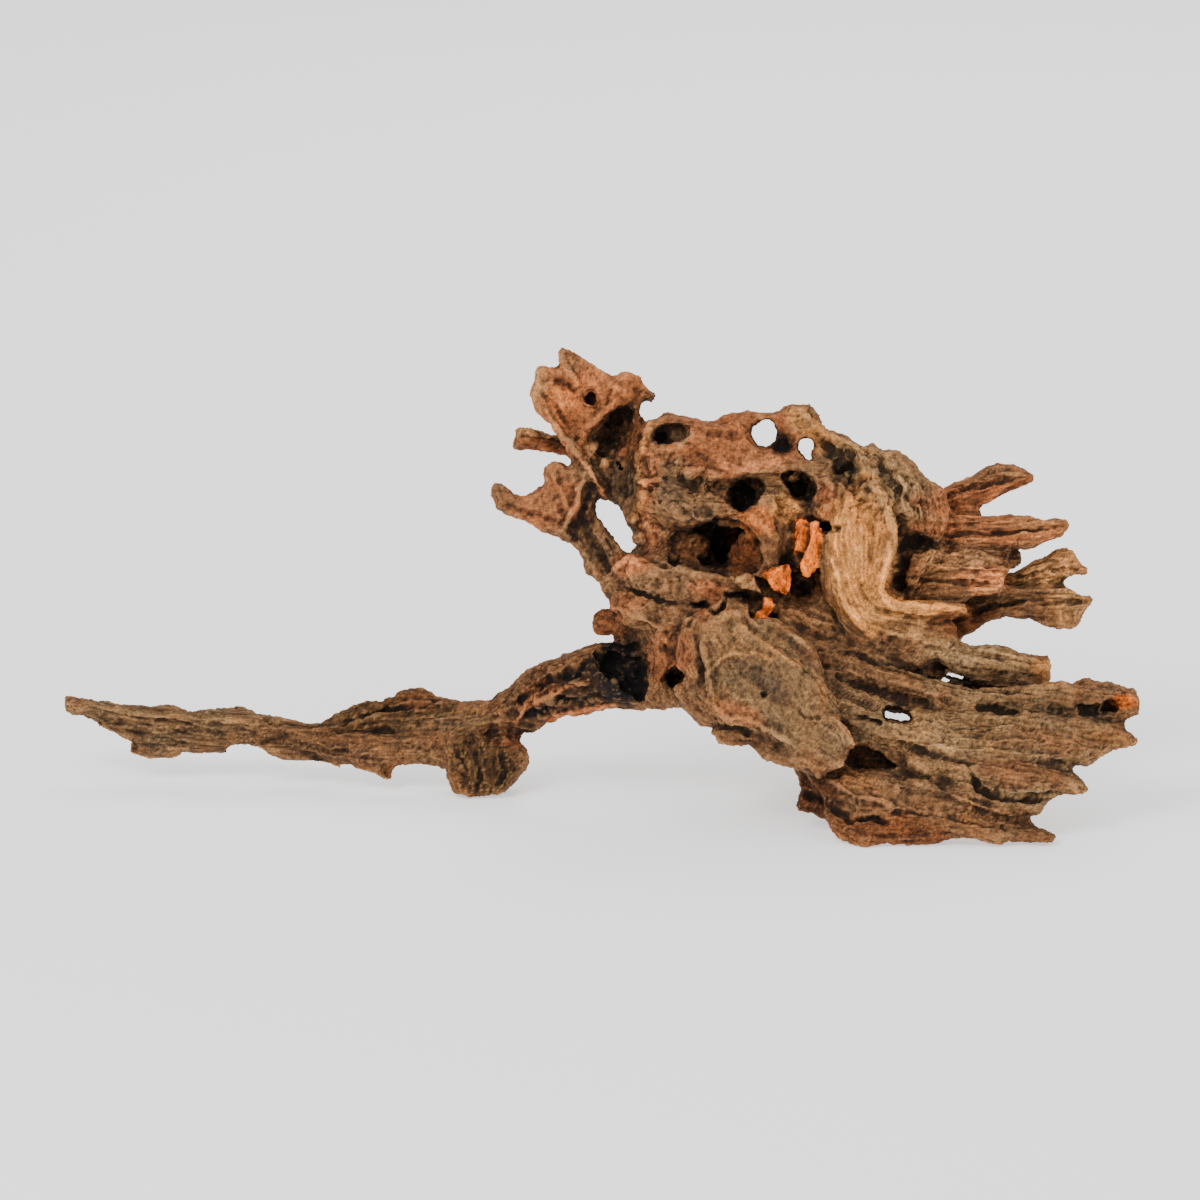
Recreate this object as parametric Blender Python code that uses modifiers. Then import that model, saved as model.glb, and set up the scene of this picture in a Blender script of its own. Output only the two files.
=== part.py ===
"""Aquarium driftwood: one weathered root crown with a hollow crown, a fan of roots and a long branch.

The piece is laid out on a drawing board that faces its best side. A place on the board is
(across, up, depth) in millimetres: across to the right, up, and depth away from the viewer.
Limbs are tapered round tubes, plates are flat outlines with a thickness, and hollows are tubes
that are cut out. They are fused into one grown body, the board is leaned back to the attitude
in which the wood lies, and its three low points are worn flat where it rests on the floor.
"""

from math import radians

import bmesh
import bpy
from mathutils import Matrix, Vector

MM = 0.001

BOARD_LEAN = radians(15)
BOARD_ORIGIN_HEIGHT = 82.2

FUSE_VOXEL = 1.4
TRIANGLES = 11400
SOFTENING = 0.5
SMALLEST_GAP = 0.001

# Curves: a tube's corners in a quarter turn, less one, and its steps between two stations.
TUBE_CORNERS = 4
TUBE_STEPS = 6

FLOOR_BLOCK = (600, 400, 40)

# Limbs: flatness is thickness in depth over width; each station is (across, up, depth, half width).
LIMBS = {
    # Long branch to the left, from its tip to the knob that it rests on
    "spear": (0.7, [
        (-214, -42.3, 46, 2.4), (-204, -44, 46, 4), (-190, -48, 45, 6.5), (-176, -51, 44, 8),
        (-160, -51, 43, 7.5), (-144, -51, 41, 7), (-128, -54.5, 38, 7.6), (-118, -57, 36, 7),
        (-106, -58.5, 34, 7.5), (-92, -61, 31, 8), (-78, -60, 29, 7.5), (-60, -59, 27, 8.5),
        (-46, -58, 26, 9)]),
    "spear_rib": (1.0, [
        (-212, -42.3, 43, 2), (-196, -44, 41, 2.6), (-160, -46.5, 38, 3.2), (-136, -49, 35, 3)]),
    "hook": (0.8, [(-98, -64, 30, 4.5), (-89, -68, 29, 3), (-82.5, -71.5, 28, 1.8)]),
    "bark_lobe": (0.9, [
        (-111, -51.5, 38, 2.4), (-104, -49.5, 38, 4.2), (-94, -47.5, 37, 6.6), (-84, -46, 36, 7.2),
        (-75, -44, 34, 7), (-64, -47.5, 31, 7), (-50, -48, 27, 8), (-38, -46.5, 24, 8.5)]),
    "bark_crest": (0.8, [
        (-92, -42, 34, 2.2), (-82, -39.8, 33, 3), (-75.5, -37.5, 33, 3.2), (-68, -40, 32, 3),
        (-56, -42.5, 29, 3)]),
    "bark_fill": (0.8, [(-104, -54, 35, 5), (-84, -53, 33, 6.5), (-64, -53, 30, 7)]),
    "neck": (1.0, [
        (-40, -46, 25, 8.5), (-30, -42, 20, 10), (-20, -36.5, 16, 11.5), (-6, -32.5, 11, 13),
        (10, -30, 6, 14.5), (28, -29, 2, 15)]),
    "neck_top": (0.9, [
        (-36, -42, 20, 5), (-30, -38.5, 18, 5), (-22, -32.5, 15, 6.5), (-10, -28, 10, 6), (4, -23, 4, 6),
        (14, -20, 0, 6)]),
    "neck_bump": (1.0, [(-24, -34, 14, 5), (-23, -29, 14, 3)]),
    "neck_under": (0.9, [(-44, -54, 30, 8), (-34, -52, 26, 5), (-26, -46, 22, 5)]),
    "knob": (1.0, [(-47, -53, 38, 10), (-46.5, -61, 33, 12), (-46, -65, 27, 12.5), (-44.5, -65, 20, 12)]),
    "knob_ear": (0.8, [(-40, -60, 24, 7.5), (-34, -63, 22, 6), (-30.5, -65, 22, 3)]),
    "knob_shelf": (0.8, [(-66, -60, 30, 7), (-56, -62, 30, 7), (-48, -64, 28, 7)]),
    # Limbs of the upper left
    "peg": (1.0, [
        (-32.4, 65, 32, 4.8), (-22, 64.4, 30, 4.6), (-12, 61, 27, 5), (-2, 56, 24, 6), (8, 50, 18, 7)]),
    "head_neck": (1.0, [
        (4, 58, 14, 7.5), (6, 50, 13, 6.5), (9, 43, 11, 4.6), (13.5, 36, 8, 4.4), (18, 28, 6, 6)]),
    "head_ridge": (1.0, [(-20, 71, 2, 2.6), (-12, 62, 0, 3), (-5, 52, 0, 3), (2, 42, 3, 2.8)]),
    "head_back": (0.9, [
        (-14, 84, 18, 8), (-4, 78, 20, 11), (6, 70, 20, 10), (12, 58, 18, 8), (20, 50, 14, 8)]),
    "left_lobe": (0.9, [(-1, -9, -2, 4), (6, -9, 0, 6), (16, -8, 2, 7.5), (28, -6, 4, 8)]),
    # Mass of the crown
    "crown_left": (1.0, [
        (22, 64, 12, 7), (24, 46, 10, 11), (28, 28, 8, 13), (26, 10, 6, 14), (24, -6, 4, 13),
        (30, -22, 2, 14)]),
    "crown_core": (1.0, [
        (30, 30, 10, 13), (50, 28, 10, 20), (72, 26, 10, 22), (94, 22, 8, 22), (112, 20, 6, 17),
        (124, 18, 6, 12)]),
    "crown_low": (1.0, [
        (22, -14, 2, 12), (44, -14, 2, 17), (66, -16, 0, 19), (88, -18, 0, 18), (106, -18, 0, 14)]),
    "crown_top": (0.9, [(24, 62, 10, 8), (40, 62, 8, 9), (56, 58, 6, 9), (72, 54, 4, 7), (84, 50, 2, 7)]),
    "brow": (0.8, [
        (60, 57, -6, 6), (72, 56, -8, 5.5), (82, 53.5, -8, 5), (88, 46, -9, 5), (92, 37, -10, 6)]),
    "cheek": (0.8, [
        (18, 46, 0, 6), (24, 40, -4, 9), (34, 37, -7, 9), (46, 36, -9, 7), (60, 37, -11, 5),
        (70, 38, -11, 5)]),
    "jaw": (0.7, [(14, 12, -4, 7), (24, 8, -8, 10), (36, 4, -11, 10), (48, 4, -13, 7), (58, 4, -13, 5)]),
    "septum": (0.8, [(58, 35, -11, 5), (64, 30, -12, 6), (67, 20, -12, 6), (63, 9, -12, 5.5)]),
    "cheek_low": (0.6, [(6, 0, -4, 5), (16, -4, -9, 7), (28, -7, -11, 7), (38, -8, -12, 6)]),
    "pillar": (0.8, [(26, -12, -8, 7), (28, -22, -8, 7), (26, -34, -4, 7), (34, -38, -6, 6)]),
    # Crumpled folds at the top right and the smooth fold that sweeps down from them
    "crumple_1": (1.0, [
        (90, 63, 0, 3.5), (98, 61, -4, 4.5), (104, 54, -8, 5), (107, 46, -11, 6), (110, 38, -13, 6.5)]),
    "crumple_2": (1.0, [
        (102, 60, 2, 4.5), (112, 56, -2, 5), (119, 50, -5, 5.5), (122, 42, -8, 6), (121, 34, -8, 5)]),
    "crumple_3": (1.0, [
        (114, 55, 6, 4.5), (124, 51, 4, 4.5), (129, 44, 1, 5), (133, 37, -3, 6), (132, 29, -3, 5.5)]),
    "crumple_base": (0.9, [(96, 54, 8, 10), (110, 46, 6, 14), (122, 38, 6, 14), (130, 32, 8, 10)]),
    "fold": (0.8, [
        (102, 48, -6, 9), (103, 35, -11, 12), (101, 21, -15, 13.5), (101, 8, -17, 11.5), (106, -3, -18, 8),
        (120, -5, -18, 4.6), (134, -4, -17, 3.4), (147, -4, -16, 1.8)]),
    "fold_rim": (1.0, [
        (108, 50, -12, 4), (111, 40, -17, 4.2), (114.5, 30, -20, 4.4), (115, 22, -22, 4.4),
        (111, 14, -23, 4.2), (109, 6, -23, 4.2), (114, -1.5, -22, 4), (128, -3.5, -20, 3),
        (140, -4, -18, 2.4)]),
    "fold_left": (0.7, [
        (92, 30, -10, 7), (91, 20, -14, 7), (93, 10, -15, 6), (97, 0, -16, 5), (103, -10, -17, 5),
        (112, -17, -17, 5)]),
    "fold_apron": (0.6, [(104, -8, -12, 9), (118, -12, -13, 9), (132, -14, -12, 9), (140, -16, -10, 7)]),
    # Roots of the right side
    "root_6": (0.9, [
        (108, -16, -11, 8), (126, -20, -10, 9), (142, -24.5, -8, 9), (156, -25.5, -7, 8.8),
        (168, -28, -6, 7), (180, -28.6, -5, 6)]),
    "ridge_1": (0.9, [
        (84, -20, -13, 6), (104, -27, -18, 6), (124, -34, -22, 5.5), (142, -38.5, -24, 5),
        (166, -39.5, -25, 5), (188, -38, -25, 6), (206, -40, -24, 5)]),
    "ridge_2": (0.9, [
        (90, -32, -22, 5), (108, -39.5, -26, 4.2), (126, -46, -29, 4.6), (150, -48.5, -31, 5.5),
        (176, -50, -32, 5), (198, -52.5, -31, 4.6), (211, -55.2, -31, 2.6)]),
    "ridge_3": (0.8, [
        (92, -42, -29, 5), (112, -51, -33, 6), (136, -56, -35, 7), (164, -58, -36, 6), (190, -61, -35, 5),
        (202, -61.2, -35, 2.4)]),
    "ridge_4": (0.8, [
        (122, -62, -38, 6), (144, -66.5, -40, 6.5), (168, -70, -41, 6.5), (184, -73, -40, 4.5),
        (193.5, -75, -40, 1.8)]),
    "ridge_5": (0.8, [
        (96, -72, -38, 6), (118, -77, -41, 6), (144, -80, -43, 6), (166, -82.5, -43, 4),
        (176, -83.5, -43, 1.6)]),
    "ridge_6": (0.8, [
        (90, -74, -38, 5), (108, -82, -43, 6.5), (130, -88, -46, 6), (154, -92, -48, 5),
        (170, -93, -48, 4.4), (180, -95, -48, 2)]),
    "ridge_7": (0.9, [
        (92, -89, -42, 3), (102, -92, -45, 5), (114, -93, -47, 5.6), (128, -93, -47, 5),
        (137, -92.5, -47, 3.6)]),
    # Back of the piece
    "back_mass": (1.0, [(30, 24, 26, 12), (54, 18, 32, 16), (84, 12, 32, 18), (110, 6, 26, 14)]),
    "back_low": (1.0, [(36, -24, 18, 12), (62, -26, 24, 15), (90, -26, 24, 14), (112, -26, 14, 10)]),
    "fan_core": (0.8, [
        (60, -24, 0, 14), (84, -40, -10, 15), (104, -60, -24, 12), (126, -70, -30, 10),
        (148, -76, -35, 8)]),
    "back_leg": (1.0, [
        (78, -8, 32, 14), (86, -28, 42, 12), (94, -46, 52, 10), (100, -61, 59, 9), (104, -73, 65, 7.5)]),
    "back_root": (0.9, [
        (98, -4, 30, 13), (122, -16, 38, 9.5), (146, -24, 44, 7), (166, -28, 46, 4), (174, -29, 46, 2)]),
    "back_knee": (0.9, [(50, 44, 22, 10), (66, 46, 34, 9), (80, 42, 42, 7), (92, 34, 44, 5)]),
    "back_prop": (0.9, [(126, -58, -14, 10), (134, -68, -8, 9), (140, -78, -8, 7), (144, -86, -14, 5)]),
    # Freshly torn flakes and a twig end, still attached in the middle of the crown
    "flake_left": (0.8, [(79.5, 32, -23, 2.2), (78.5, 25, -27, 2.8), (79.5, 18, -25, 2.4)]),
    "flake_right": (0.7, [(84, 30, -22, 2.6), (86, 21, -29, 4), (83.5, 13, -27, 3.6), (82, 10, -20, 2)]),
    "flake_block": (0.8, [(65, 10, -18, 3), (71, 9, -23, 6.4), (73, 6, -18, 5)]),
    "flake_curl": (0.9, [(68, 0, -20, 2.6), (66.5, -4, -23, 3), (62, -7, -19, 2)]),
    "twig_end": (0.9, [(53, 9, -16, 2.6), (60, 7, -20, 2.6), (66, 2, -16, 2.2)]),
}

# Plates: (middle depth, thickness, lean in depth per mm across, lean per mm up, outline of (across, up)).
PLATES = {
    "spear_blade": (43, 7, -0.06, 0.1, [
        (-215.5, -42.5), (-214, -40.3), (-204, -40.6), (-190, -41.6), (-176, -42.6), (-160, -43.8),
        (-142, -44.4), (-136, -46.8), (-128, -47.4), (-118, -50.5), (-111, -53), (-104, -56), (-104, -65.5),
        (-112, -64.5), (-126, -63.8), (-133, -61), (-138, -58.3), (-148.5, -57.5), (-150, -61),
        (-158, -60.6), (-166, -60), (-172, -62.8), (-184, -62.6), (-187.5, -59), (-186, -56), (-194, -52.5),
        (-201, -50.2), (-206, -46.6), (-213, -45)]),
    "knob_block": (27, 19, 0.0, 0.0, [
        (-61, -66), (-60, -73), (-57.5, -77), (-50, -79), (-40.5, -79), (-33, -70.5), (-28, -65.5),
        (-31, -58.5), (-44, -52), (-56, -51), (-61, -56)]),
    "strut": (6, 10, 0.2, -0.12, [
        (-9, 52), (-3, 50), (-1, 46), (-2.4, 39), (-0.5, 33), (5, 25), (9.5, 18), (18, 14), (20, 4),
        (12, -4), (4, -2), (2, 3), (0, 8), (-4.8, 10), (-6, 16), (-9, 20.5), (-13, 22.5), (-20, 26),
        (-14, 34), (-11, 44)]),
    "head": (11, 11, 0.10, 0.0, [
        (-17, 101), (-8, 98.5), (-4, 95), (0, 93), (5, 89.5), (10, 91.5), (16, 91), (19, 86.5), (23, 82),
        (22, 79), (17.5, 79.5), (16, 76), (18.5, 71), (20, 62), (16, 56), (14, 46), (12, 38.5), (6, 39.2),
        (1, 40), (-5, 50), (-11, 61), (-16, 68.5), (-22, 70), (-25, 74), (-29.2, 83), (-26, 87.5),
        (-25.5, 93.5), (-15, 93), (-13.5, 91)]),
    "peg_ribs": (28, 8, -0.1, 0.0, [
        (-34.5, 61), (-33.5, 70), (-27, 70), (-24, 67), (-12, 66), (-2, 58), (-6, 51), (-14, 57),
        (-24, 60)]),
    "prong": (0, 10, 0.15, 0.0, [
        (-43.5, 43), (-42, 46.5), (-39.5, 46), (-36, 42), (-31, 40.3), (-24, 44), (-21, 47), (-22, 51),
        (-19.5, 56), (-12, 52.5), (-6, 51.5), (-5, 44), (-7, 34), (-12, 25), (-18, 24), (-27, 29.5),
        (-34, 32.5), (-42, 35.5)]),
    "crown_face": (-4, 9, -0.06, 0.06, [
        (20, 46), (19, 60), (22, 66), (30, 72), (44, 69), (57, 73), (58, 62), (72, 60), (79, 56), (86, 60),
        (94, 56), (92, 46), (87, 47), (82, 53), (72, 53), (62, 50), (52, 49), (44, 46), (34, 42),
        (26, 42)]),
    "crown": (4, 16, -0.04, 0.06, [
        (18, 70), (24, 71), (28, 75), (38, 71.5), (46, 70), (50, 73.5), (58, 75), (72, 75), (77, 78.5),
        (84, 78), (88.3, 73), (87, 69), (93, 65.8), (100, 65), (106, 60.5), (118, 59.5), (122, 55),
        (127, 54.5), (129, 50), (138, 44.5), (138, 24), (120, 0), (95, -12), (60, -15), (30, -12), (12, -2),
        (3, 3), (0, 8), (11, 17.5), (16.5, 21), (14, 26), (15, 29), (10.5, 31), (14, 39), (13, 45),
        (14, 55), (17, 62)]),
    "root_1": (20, 10, 0.05, 0.1, [
        (124, 44), (138, 44.5), (142, 48), (150, 51), (158, 54.6), (164, 54.4), (174.5, 51), (174, 47),
        (163, 44), (158, 39), (152, 36), (140, 33), (124, 34)]),
    "root_2": (12, 12, 0.05, 0.2, [
        (122, 36), (138, 35), (150, 34), (166, 33.5), (172, 33.5), (176, 33), (186, 33), (189, 30.5),
        (185, 26), (176, 23), (168, 20.5), (158, 19), (126, 17), (118, 24)]),
    "root_slab": (4, 13, 0.0, 0.1, [
        (114, 20), (126, 19), (150, 19.5), (164, 18), (166, 12), (162, 8), (161, 3), (150, 2), (142, -2),
        (120, -4), (110, 4)]),
    "root_3": (24, 8, 0.05, 0.0, [
        (156, 11), (168, 12.5), (176, 15), (181, 18), (186.5, 20.8), (190, 19), (197, 12.8), (196, 10),
        (188, 8.8), (180, 6), (172, 4), (156, 2)]),
    "root_4": (17, 11, 0.0, 0.1, [
        (140, 6), (166, 6.5), (184, 6), (188, 6.5), (192, 3), (198, 1), (198.5, -1.5), (194, -4.5),
        (193, -10), (189, -12.5), (178, -11), (173, -7.5), (168, -6), (162, -5.5), (156, -9), (150, -12),
        (146, -13.5), (144, -16), (134, -14), (126, -4)]),
    "fan": (-31, 9, 0.0, 0.45, [
        (80, -16), (104, -22), (128, -31), (150, -35), (184, -35), (190, -32), (195, -31), (200, -33),
        (208, -34), (214, -36.5), (216, -40), (216, -46), (206, -50), (211, -51), (215.5, -55.5),
        (212.5, -58.5), (203, -59), (201, -62.5), (194, -65.5), (184, -66), (192, -72), (196.5, -75.5),
        (192, -78), (180, -78.5), (172, -82.5), (166, -86.5), (172, -88.5), (181, -93.5), (180, -96.5),
        (158, -96), (145, -94.5), (139, -94), (138, -95.5), (130, -97.2), (122, -96.4), (110, -98),
        (103, -97.5), (96, -94), (91, -90), (88, -78), (80, -66), (66, -50), (58, -30)]),
    "leaf": (-38, 10, -0.20, 0.14, [
        (39, -12), (44, -8), (50, -3), (56, -4), (58, -12), (66, -17), (76, -23), (84, -29), (88, -34),
        (92, -42), (98, -50), (104, -57.5), (98, -62), (97, -67), (88, -69), (78, -64), (72, -56),
        (62, -50), (48, -49), (42, -42), (41, -34), (38, -22)]),
    "leaf_lip": (-38, 7, -0.15, 0.10, [
        (40, -44), (47, -53), (46, -57.5), (60, -59.5), (66, -63), (79, -68), (88, -70), (78, -60),
        (64, -50), (48, -44)]),
    "shin": (-26, 9, -0.10, 0.2, [
        (72, -60), (79, -68), (80, -74), (79, -79), (77, -84), (84, -86), (92, -88), (102, -90), (108, -78),
        (92, -64)]),
    "leaf_root": (-20, 30, -0.1, 0.1, [
        (34, -8), (50, 0), (66, -6), (84, -18), (92, -34), (96, -48), (84, -58), (66, -52), (50, -50),
        (41, -49.5), (34, -44), (30, -36), (32, -20)]),
}

# Hollows: (flatness, stations) as for limbs. Each starts outside the wood.
HOLLOWS = {
    "head_pit": (1.0, [(-4, 81, -8, 3.8), (-4, 80.6, 12, 3.4)]),
    "head_hollow": (1.0, [(9, 73, -8, 6), (8, 72, 6, 6), (6, 69, 16, 4)]),
    "head_hollow_low": (1.0, [(3, 65, -8, 8), (3, 64, 6, 8), (4, 62, 16, 5)]),
    "head_slit": (1.0, [(7, 55, -8, 1.4), (10.5, 52, 24, 1.4)]),
    "top_pit": (1.0, [(24, 66, -14, 3), (25, 65.5, 6, 3.6)]),
    "top_pit_right": (1.0, [(33, 68, -14, 4), (33, 67, 0, 3)]),
    "arch_hole": (1.0, [(65.5, 66.4, -30, 6), (65.5, 66.4, 60, 6)]),
    "arch_hole_right": (1.0, [(82.3, 61, -30, 4), (82.3, 61, 60, 4)]),
    "arch_hole_foot": (1.0, [(83.4, 56.6, -30, 2), (83.4, 56.6, 60, 2)]),
    "eye_left": (1.0, [(56, 43, -30, 6), (57, 42, 8, 5.5)]),
    "eye_right": (1.0, [(79, 45.5, -30, 6), (78.5, 45.5, 8, 5.5)]),
    "mouth": (1.0, [(34, 21, -34, 7), (34, 22, 2, 6)]),
    "mouth_middle": (1.0, [(43, 22, -34, 10), (44, 22, 6, 9)]),
    "mouth_right": (1.0, [(52, 22, -34, 9), (52, 23, 12, 8)]),
    "nostril": (1.0, [(90, 29, -40, 3), (90, 29.5, -6, 3)]),
    "chip_gap": (1.0, [(80, 6, -34, 5), (80, 7, -2, 5)]),
    "neck_cavity": (1.0, [(4, -25, -26, 6), (5, -26, 4, 5), (7, -27, 12, 3)]),
    "neck_cavity_right": (1.0, [(13, -25, -24, 7.5), (13, -27, 6, 6)]),
    "neck_cavity_low": (1.0, [(15, -34, -24, 5), (15, -34, 4, 4)]),
    "pillar_cavity": (1.0, [(31, -31, -34, 4.2), (31, -31, -2, 4)]),
    "crack_shadow": (1.0, [(44, 0, -34, 1.6), (54, 1, -34, 1.6), (54, 1, -6, 1.6)]),
    "fan_hole": (1.0, [(115.5, -45.4, -60, 2.6), (115.5, -45.4, 80, 2.6)]),
    "fan_hole_right": (1.0, [(120.5, -46.6, -60, 2.6), (120.5, -46.6, 80, 2.6)]),
    "fan_eye": (1.0, [(104, -64, -70, 4.5), (104, -64, -32, 4)]),
    "fan_eye_right": (1.0, [(112, -64.5, -70, 4), (112, -64.5, -34, 3.6)]),
    "under_notch": (1.0, [(19.5, -45, -40, 3), (19.5, -45, 60, 3)]),
    "knob_hollow": (1.0, [(-52, -56, -4, 4), (-52, -57, 20, 4)]),
    "fold_valley": (1.0, [
        (124, 33, -22, 4), (125, 23, -19, 5), (121.5, 14, -18, 5.5), (121, 6.5, -17, 5), (129, 5, -15, 4.5),
        (142, 4.5, -14, 4)]),
    "root_shadow": (1.0, [(118, 22, -12, 4), (132, 22, -4, 4), (150, 21, -1, 3)]),
    "root_6_hollow": (1.0, [(132, -27, -26, 5.5), (136, -29, -6, 5)]),
    "root_4_hollow": (0.8, [(140, -10, -12, 5), (144, -10, 8, 5)]),
    "fan_trench_top": (0.8, [
        (92, -18.5, -21, 3), (112, -24, -23, 3), (130, -30, -24, 3.4), (150, -34, -22, 3),
        (172, -36, -20, 2.6)]),
    "fan_trench_upper": (0.8, [
        (94, -29, -24, 3), (108, -33.5, -26, 3.6), (122, -39, -29, 3.6), (136, -43, -31, 2.4)]),
    "fan_trench_middle": (0.8, [
        (112, -57, -39, 2.6), (132, -61, -43, 2.8), (160, -64, -45, 3), (186, -67, -43, 3)]),
    "fan_trench_low": (0.8, [
        (118, -70, -46, 2.6), (138, -74, -49, 3), (156, -78, -50, 3.6), (180, -80.5, -48, 4)]),
    "fan_trench_bottom": (0.8, [
        (104, -80, -48, 2.4), (124, -83.5, -52, 2.8), (146, -86.5, -53, 3), (166, -88.5, -51, 3)]),
    "fan_end": (1.0, [(196, -45, -44, 3), (202, -43.5, -44, 3.4), (202, -43.5, -20, 3)]),
    "leaf_recess": (1.0, [
        (50, -54, -58, 2.4), (60, -53.5, -58, 2.4), (70, -57, -58, 2), (70, -57, -40, 2)]),
    "back_hollow": (1.0, [(66, 22, 64, 10), (64, 20, 36, 9)]),
    "back_hollow_right": (1.0, [(100, 28, 60, 7), (98, 26, 22, 7)]),
    "back_hollow_low": (1.0, [(58, -24, 60, 8), (56, -24, 26, 7)]),
}

# Displacement that roughens the fused body: (texture size, strength), in millimetres.
ROUGHNESS = {
    "swell": (26.0, 4.0),
    "gnarl": (9.0, 2.8),
}


def board_point(across, up, depth):
    """The place as Blender's X, Y and Z before the board is leaned back, in metres."""
    return Vector((across, depth, up)) * MM


def board_matrix():
    """Leans the board back and lifts its origin off the floor."""
    lift = Matrix.Translation((0, 0, BOARD_ORIGIN_HEIGHT * MM))
    return lift @ Matrix.Rotation(-BOARD_LEAN, 4, "X")


def mesh_from_curve(curve):
    """The mesh of a curve, with the curve and its object removed."""
    guide = bpy.data.objects.new(curve.name, curve)
    bpy.context.scene.collection.objects.link(guide)
    graph = bpy.context.evaluated_depsgraph_get()
    mesh = bpy.data.meshes.new_from_object(guide.evaluated_get(graph))
    bpy.data.objects.remove(guide)
    bpy.data.curves.remove(curve)
    return mesh


def limb_mesh(name, flatness, stations):
    """A tapered round tube through the stations, flattened in depth."""
    curve = bpy.data.curves.new(name, "CURVE")
    curve.dimensions = "3D"
    curve.bevel_depth = 1.0
    curve.bevel_resolution = TUBE_CORNERS
    curve.resolution_u = TUBE_STEPS
    curve.use_fill_caps = True
    spline = curve.splines.new("BEZIER")
    spline.bezier_points.add(len(stations) - 1)
    for point, (across, up, depth, half_width) in zip(spline.bezier_points, stations):
        point.co = board_point(across, up, depth / flatness)
        point.radius = half_width * MM
        point.handle_left_type = point.handle_right_type = "AUTO"
    mesh = mesh_from_curve(curve)
    mesh.transform(Matrix.Scale(flatness, 4, (0, 1, 0)))
    return mesh


def plate_mesh(name, depth, thickness, lean_across, lean_up, outline):
    """A flat outline with a thickness, sheared in depth about the middle of its outline."""
    curve = bpy.data.curves.new(name, "CURVE")
    curve.dimensions = "2D"
    curve.fill_mode = "BOTH"
    curve.extrude = thickness * MM / 2
    spline = curve.splines.new("POLY")
    spline.points.add(len(outline) - 1)
    spline.use_cyclic_u = True
    for point, (across, up) in zip(spline.points, outline):
        point.co = (across * MM, up * MM, 0, 1)
    mesh = mesh_from_curve(curve)
    middle_across = sum(across for across, _ in outline) / len(outline)
    middle_up = sum(up for _, up in outline) / len(outline)
    middle_depth = depth - lean_across * middle_across - lean_up * middle_up
    mesh.transform(Matrix((
        (1, 0, 0, 0),
        (lean_across, lean_up, -1, middle_depth * MM),
        (0, 1, 0, 0),
        (0, 0, 0, 1),
    )))
    return mesh


def joined_object(name, meshes, collection):
    """One object that holds all the meshes as loose shells."""
    shells = bmesh.new()
    for mesh in meshes:
        shells.from_mesh(mesh)
        bpy.data.meshes.remove(mesh)
    bmesh.ops.remove_doubles(shells, verts=shells.verts, dist=SMALLEST_GAP * MM)
    joined = bpy.data.meshes.new(name)
    shells.to_mesh(joined)
    shells.free()
    obj = bpy.data.objects.new(name, joined)
    collection.objects.link(obj)
    return obj


def add_remesh(obj, voxel):
    """Fuses loose overlapping shells into one skin."""
    remesh = obj.modifiers.new("fuse", "REMESH")
    remesh.mode = "VOXEL"
    remesh.voxel_size = voxel * MM
    remesh.use_smooth_shade = True


def add_smooth(obj, repeats):
    """Takes the voxel steps off the skin."""
    smooth = obj.modifiers.new("soften", "SMOOTH")
    smooth.factor = SOFTENING
    smooth.iterations = repeats


def add_cut(obj, cutter):
    """Takes the cutter's body out of the object."""
    cut = obj.modifiers.new("cut_" + cutter.name, "BOOLEAN")
    cut.operation = "DIFFERENCE"
    cut.solver = "MANIFOLD"
    cut.object = cutter


def add_roughness(obj, name, size, strength):
    """Swells and gnarls the skin with a cloud texture of one size."""
    texture = bpy.data.textures.new(name, "CLOUDS")
    texture.noise_scale = size * MM
    texture.noise_depth = 1
    rough = obj.modifiers.new(name, "DISPLACE")
    rough.texture = texture
    rough.texture_coords = "LOCAL"
    rough.strength = strength * MM
    rough.mid_level = 0.5


def driftwood_material():
    """Brown waterlogged root wood."""
    material = bpy.data.materials.new("weathered_wood")
    material.use_nodes = True
    shader = material.node_tree.nodes["Principled BSDF"]
    shader.inputs["Base Color"].default_value = (0.19, 0.10, 0.055, 1)
    shader.inputs["Roughness"].default_value = 0.85
    shader.inputs["Metallic"].default_value = 0.0
    return material


def hide_cutter(obj):
    """Shows the cutter as wires and keeps it out of pictures."""
    obj.hide_render = True
    obj.display_type = "WIRE"


def applied_mesh(obj):
    """The object's mesh with its modifiers applied."""
    bpy.context.view_layer.update()
    graph = bpy.context.evaluated_depsgraph_get()
    return bpy.data.meshes.new_from_object(obj.evaluated_get(graph))


def largest_shell(mesh):
    """The mesh without loose scraps and without the skins of sealed hollows."""
    body = bmesh.new()
    body.from_mesh(mesh)
    unseen = set(body.verts)
    shells = []
    while unseen:
        shell = []
        front = [unseen.pop()]
        while front:
            vert = front.pop()
            shell.append(vert)
            for edge in vert.link_edges:
                other = edge.other_vert(vert)
                if other in unseen:
                    unseen.remove(other)
                    front.append(other)
        shells.append(shell)
    shells.sort(key=len)
    for scrap in shells[:-1]:
        bmesh.ops.delete(body, geom=scrap, context="VERTS")
    body.to_mesh(mesh)
    body.free()
    return mesh


def centred_mesh(mesh):
    """The mesh moved along the floor until the middle of its box stands over the origin."""
    for axis in (0, 1):
        places = [vert.co[axis] for vert in mesh.vertices]
        middle = (min(places) + max(places)) / 2
        for vert in mesh.vertices:
            vert.co[axis] -= middle
    return mesh


def triangle_count(mesh):
    """The number of triangles in the mesh's faces."""
    return sum(len(face.vertices) - 2 for face in mesh.polygons)


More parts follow.
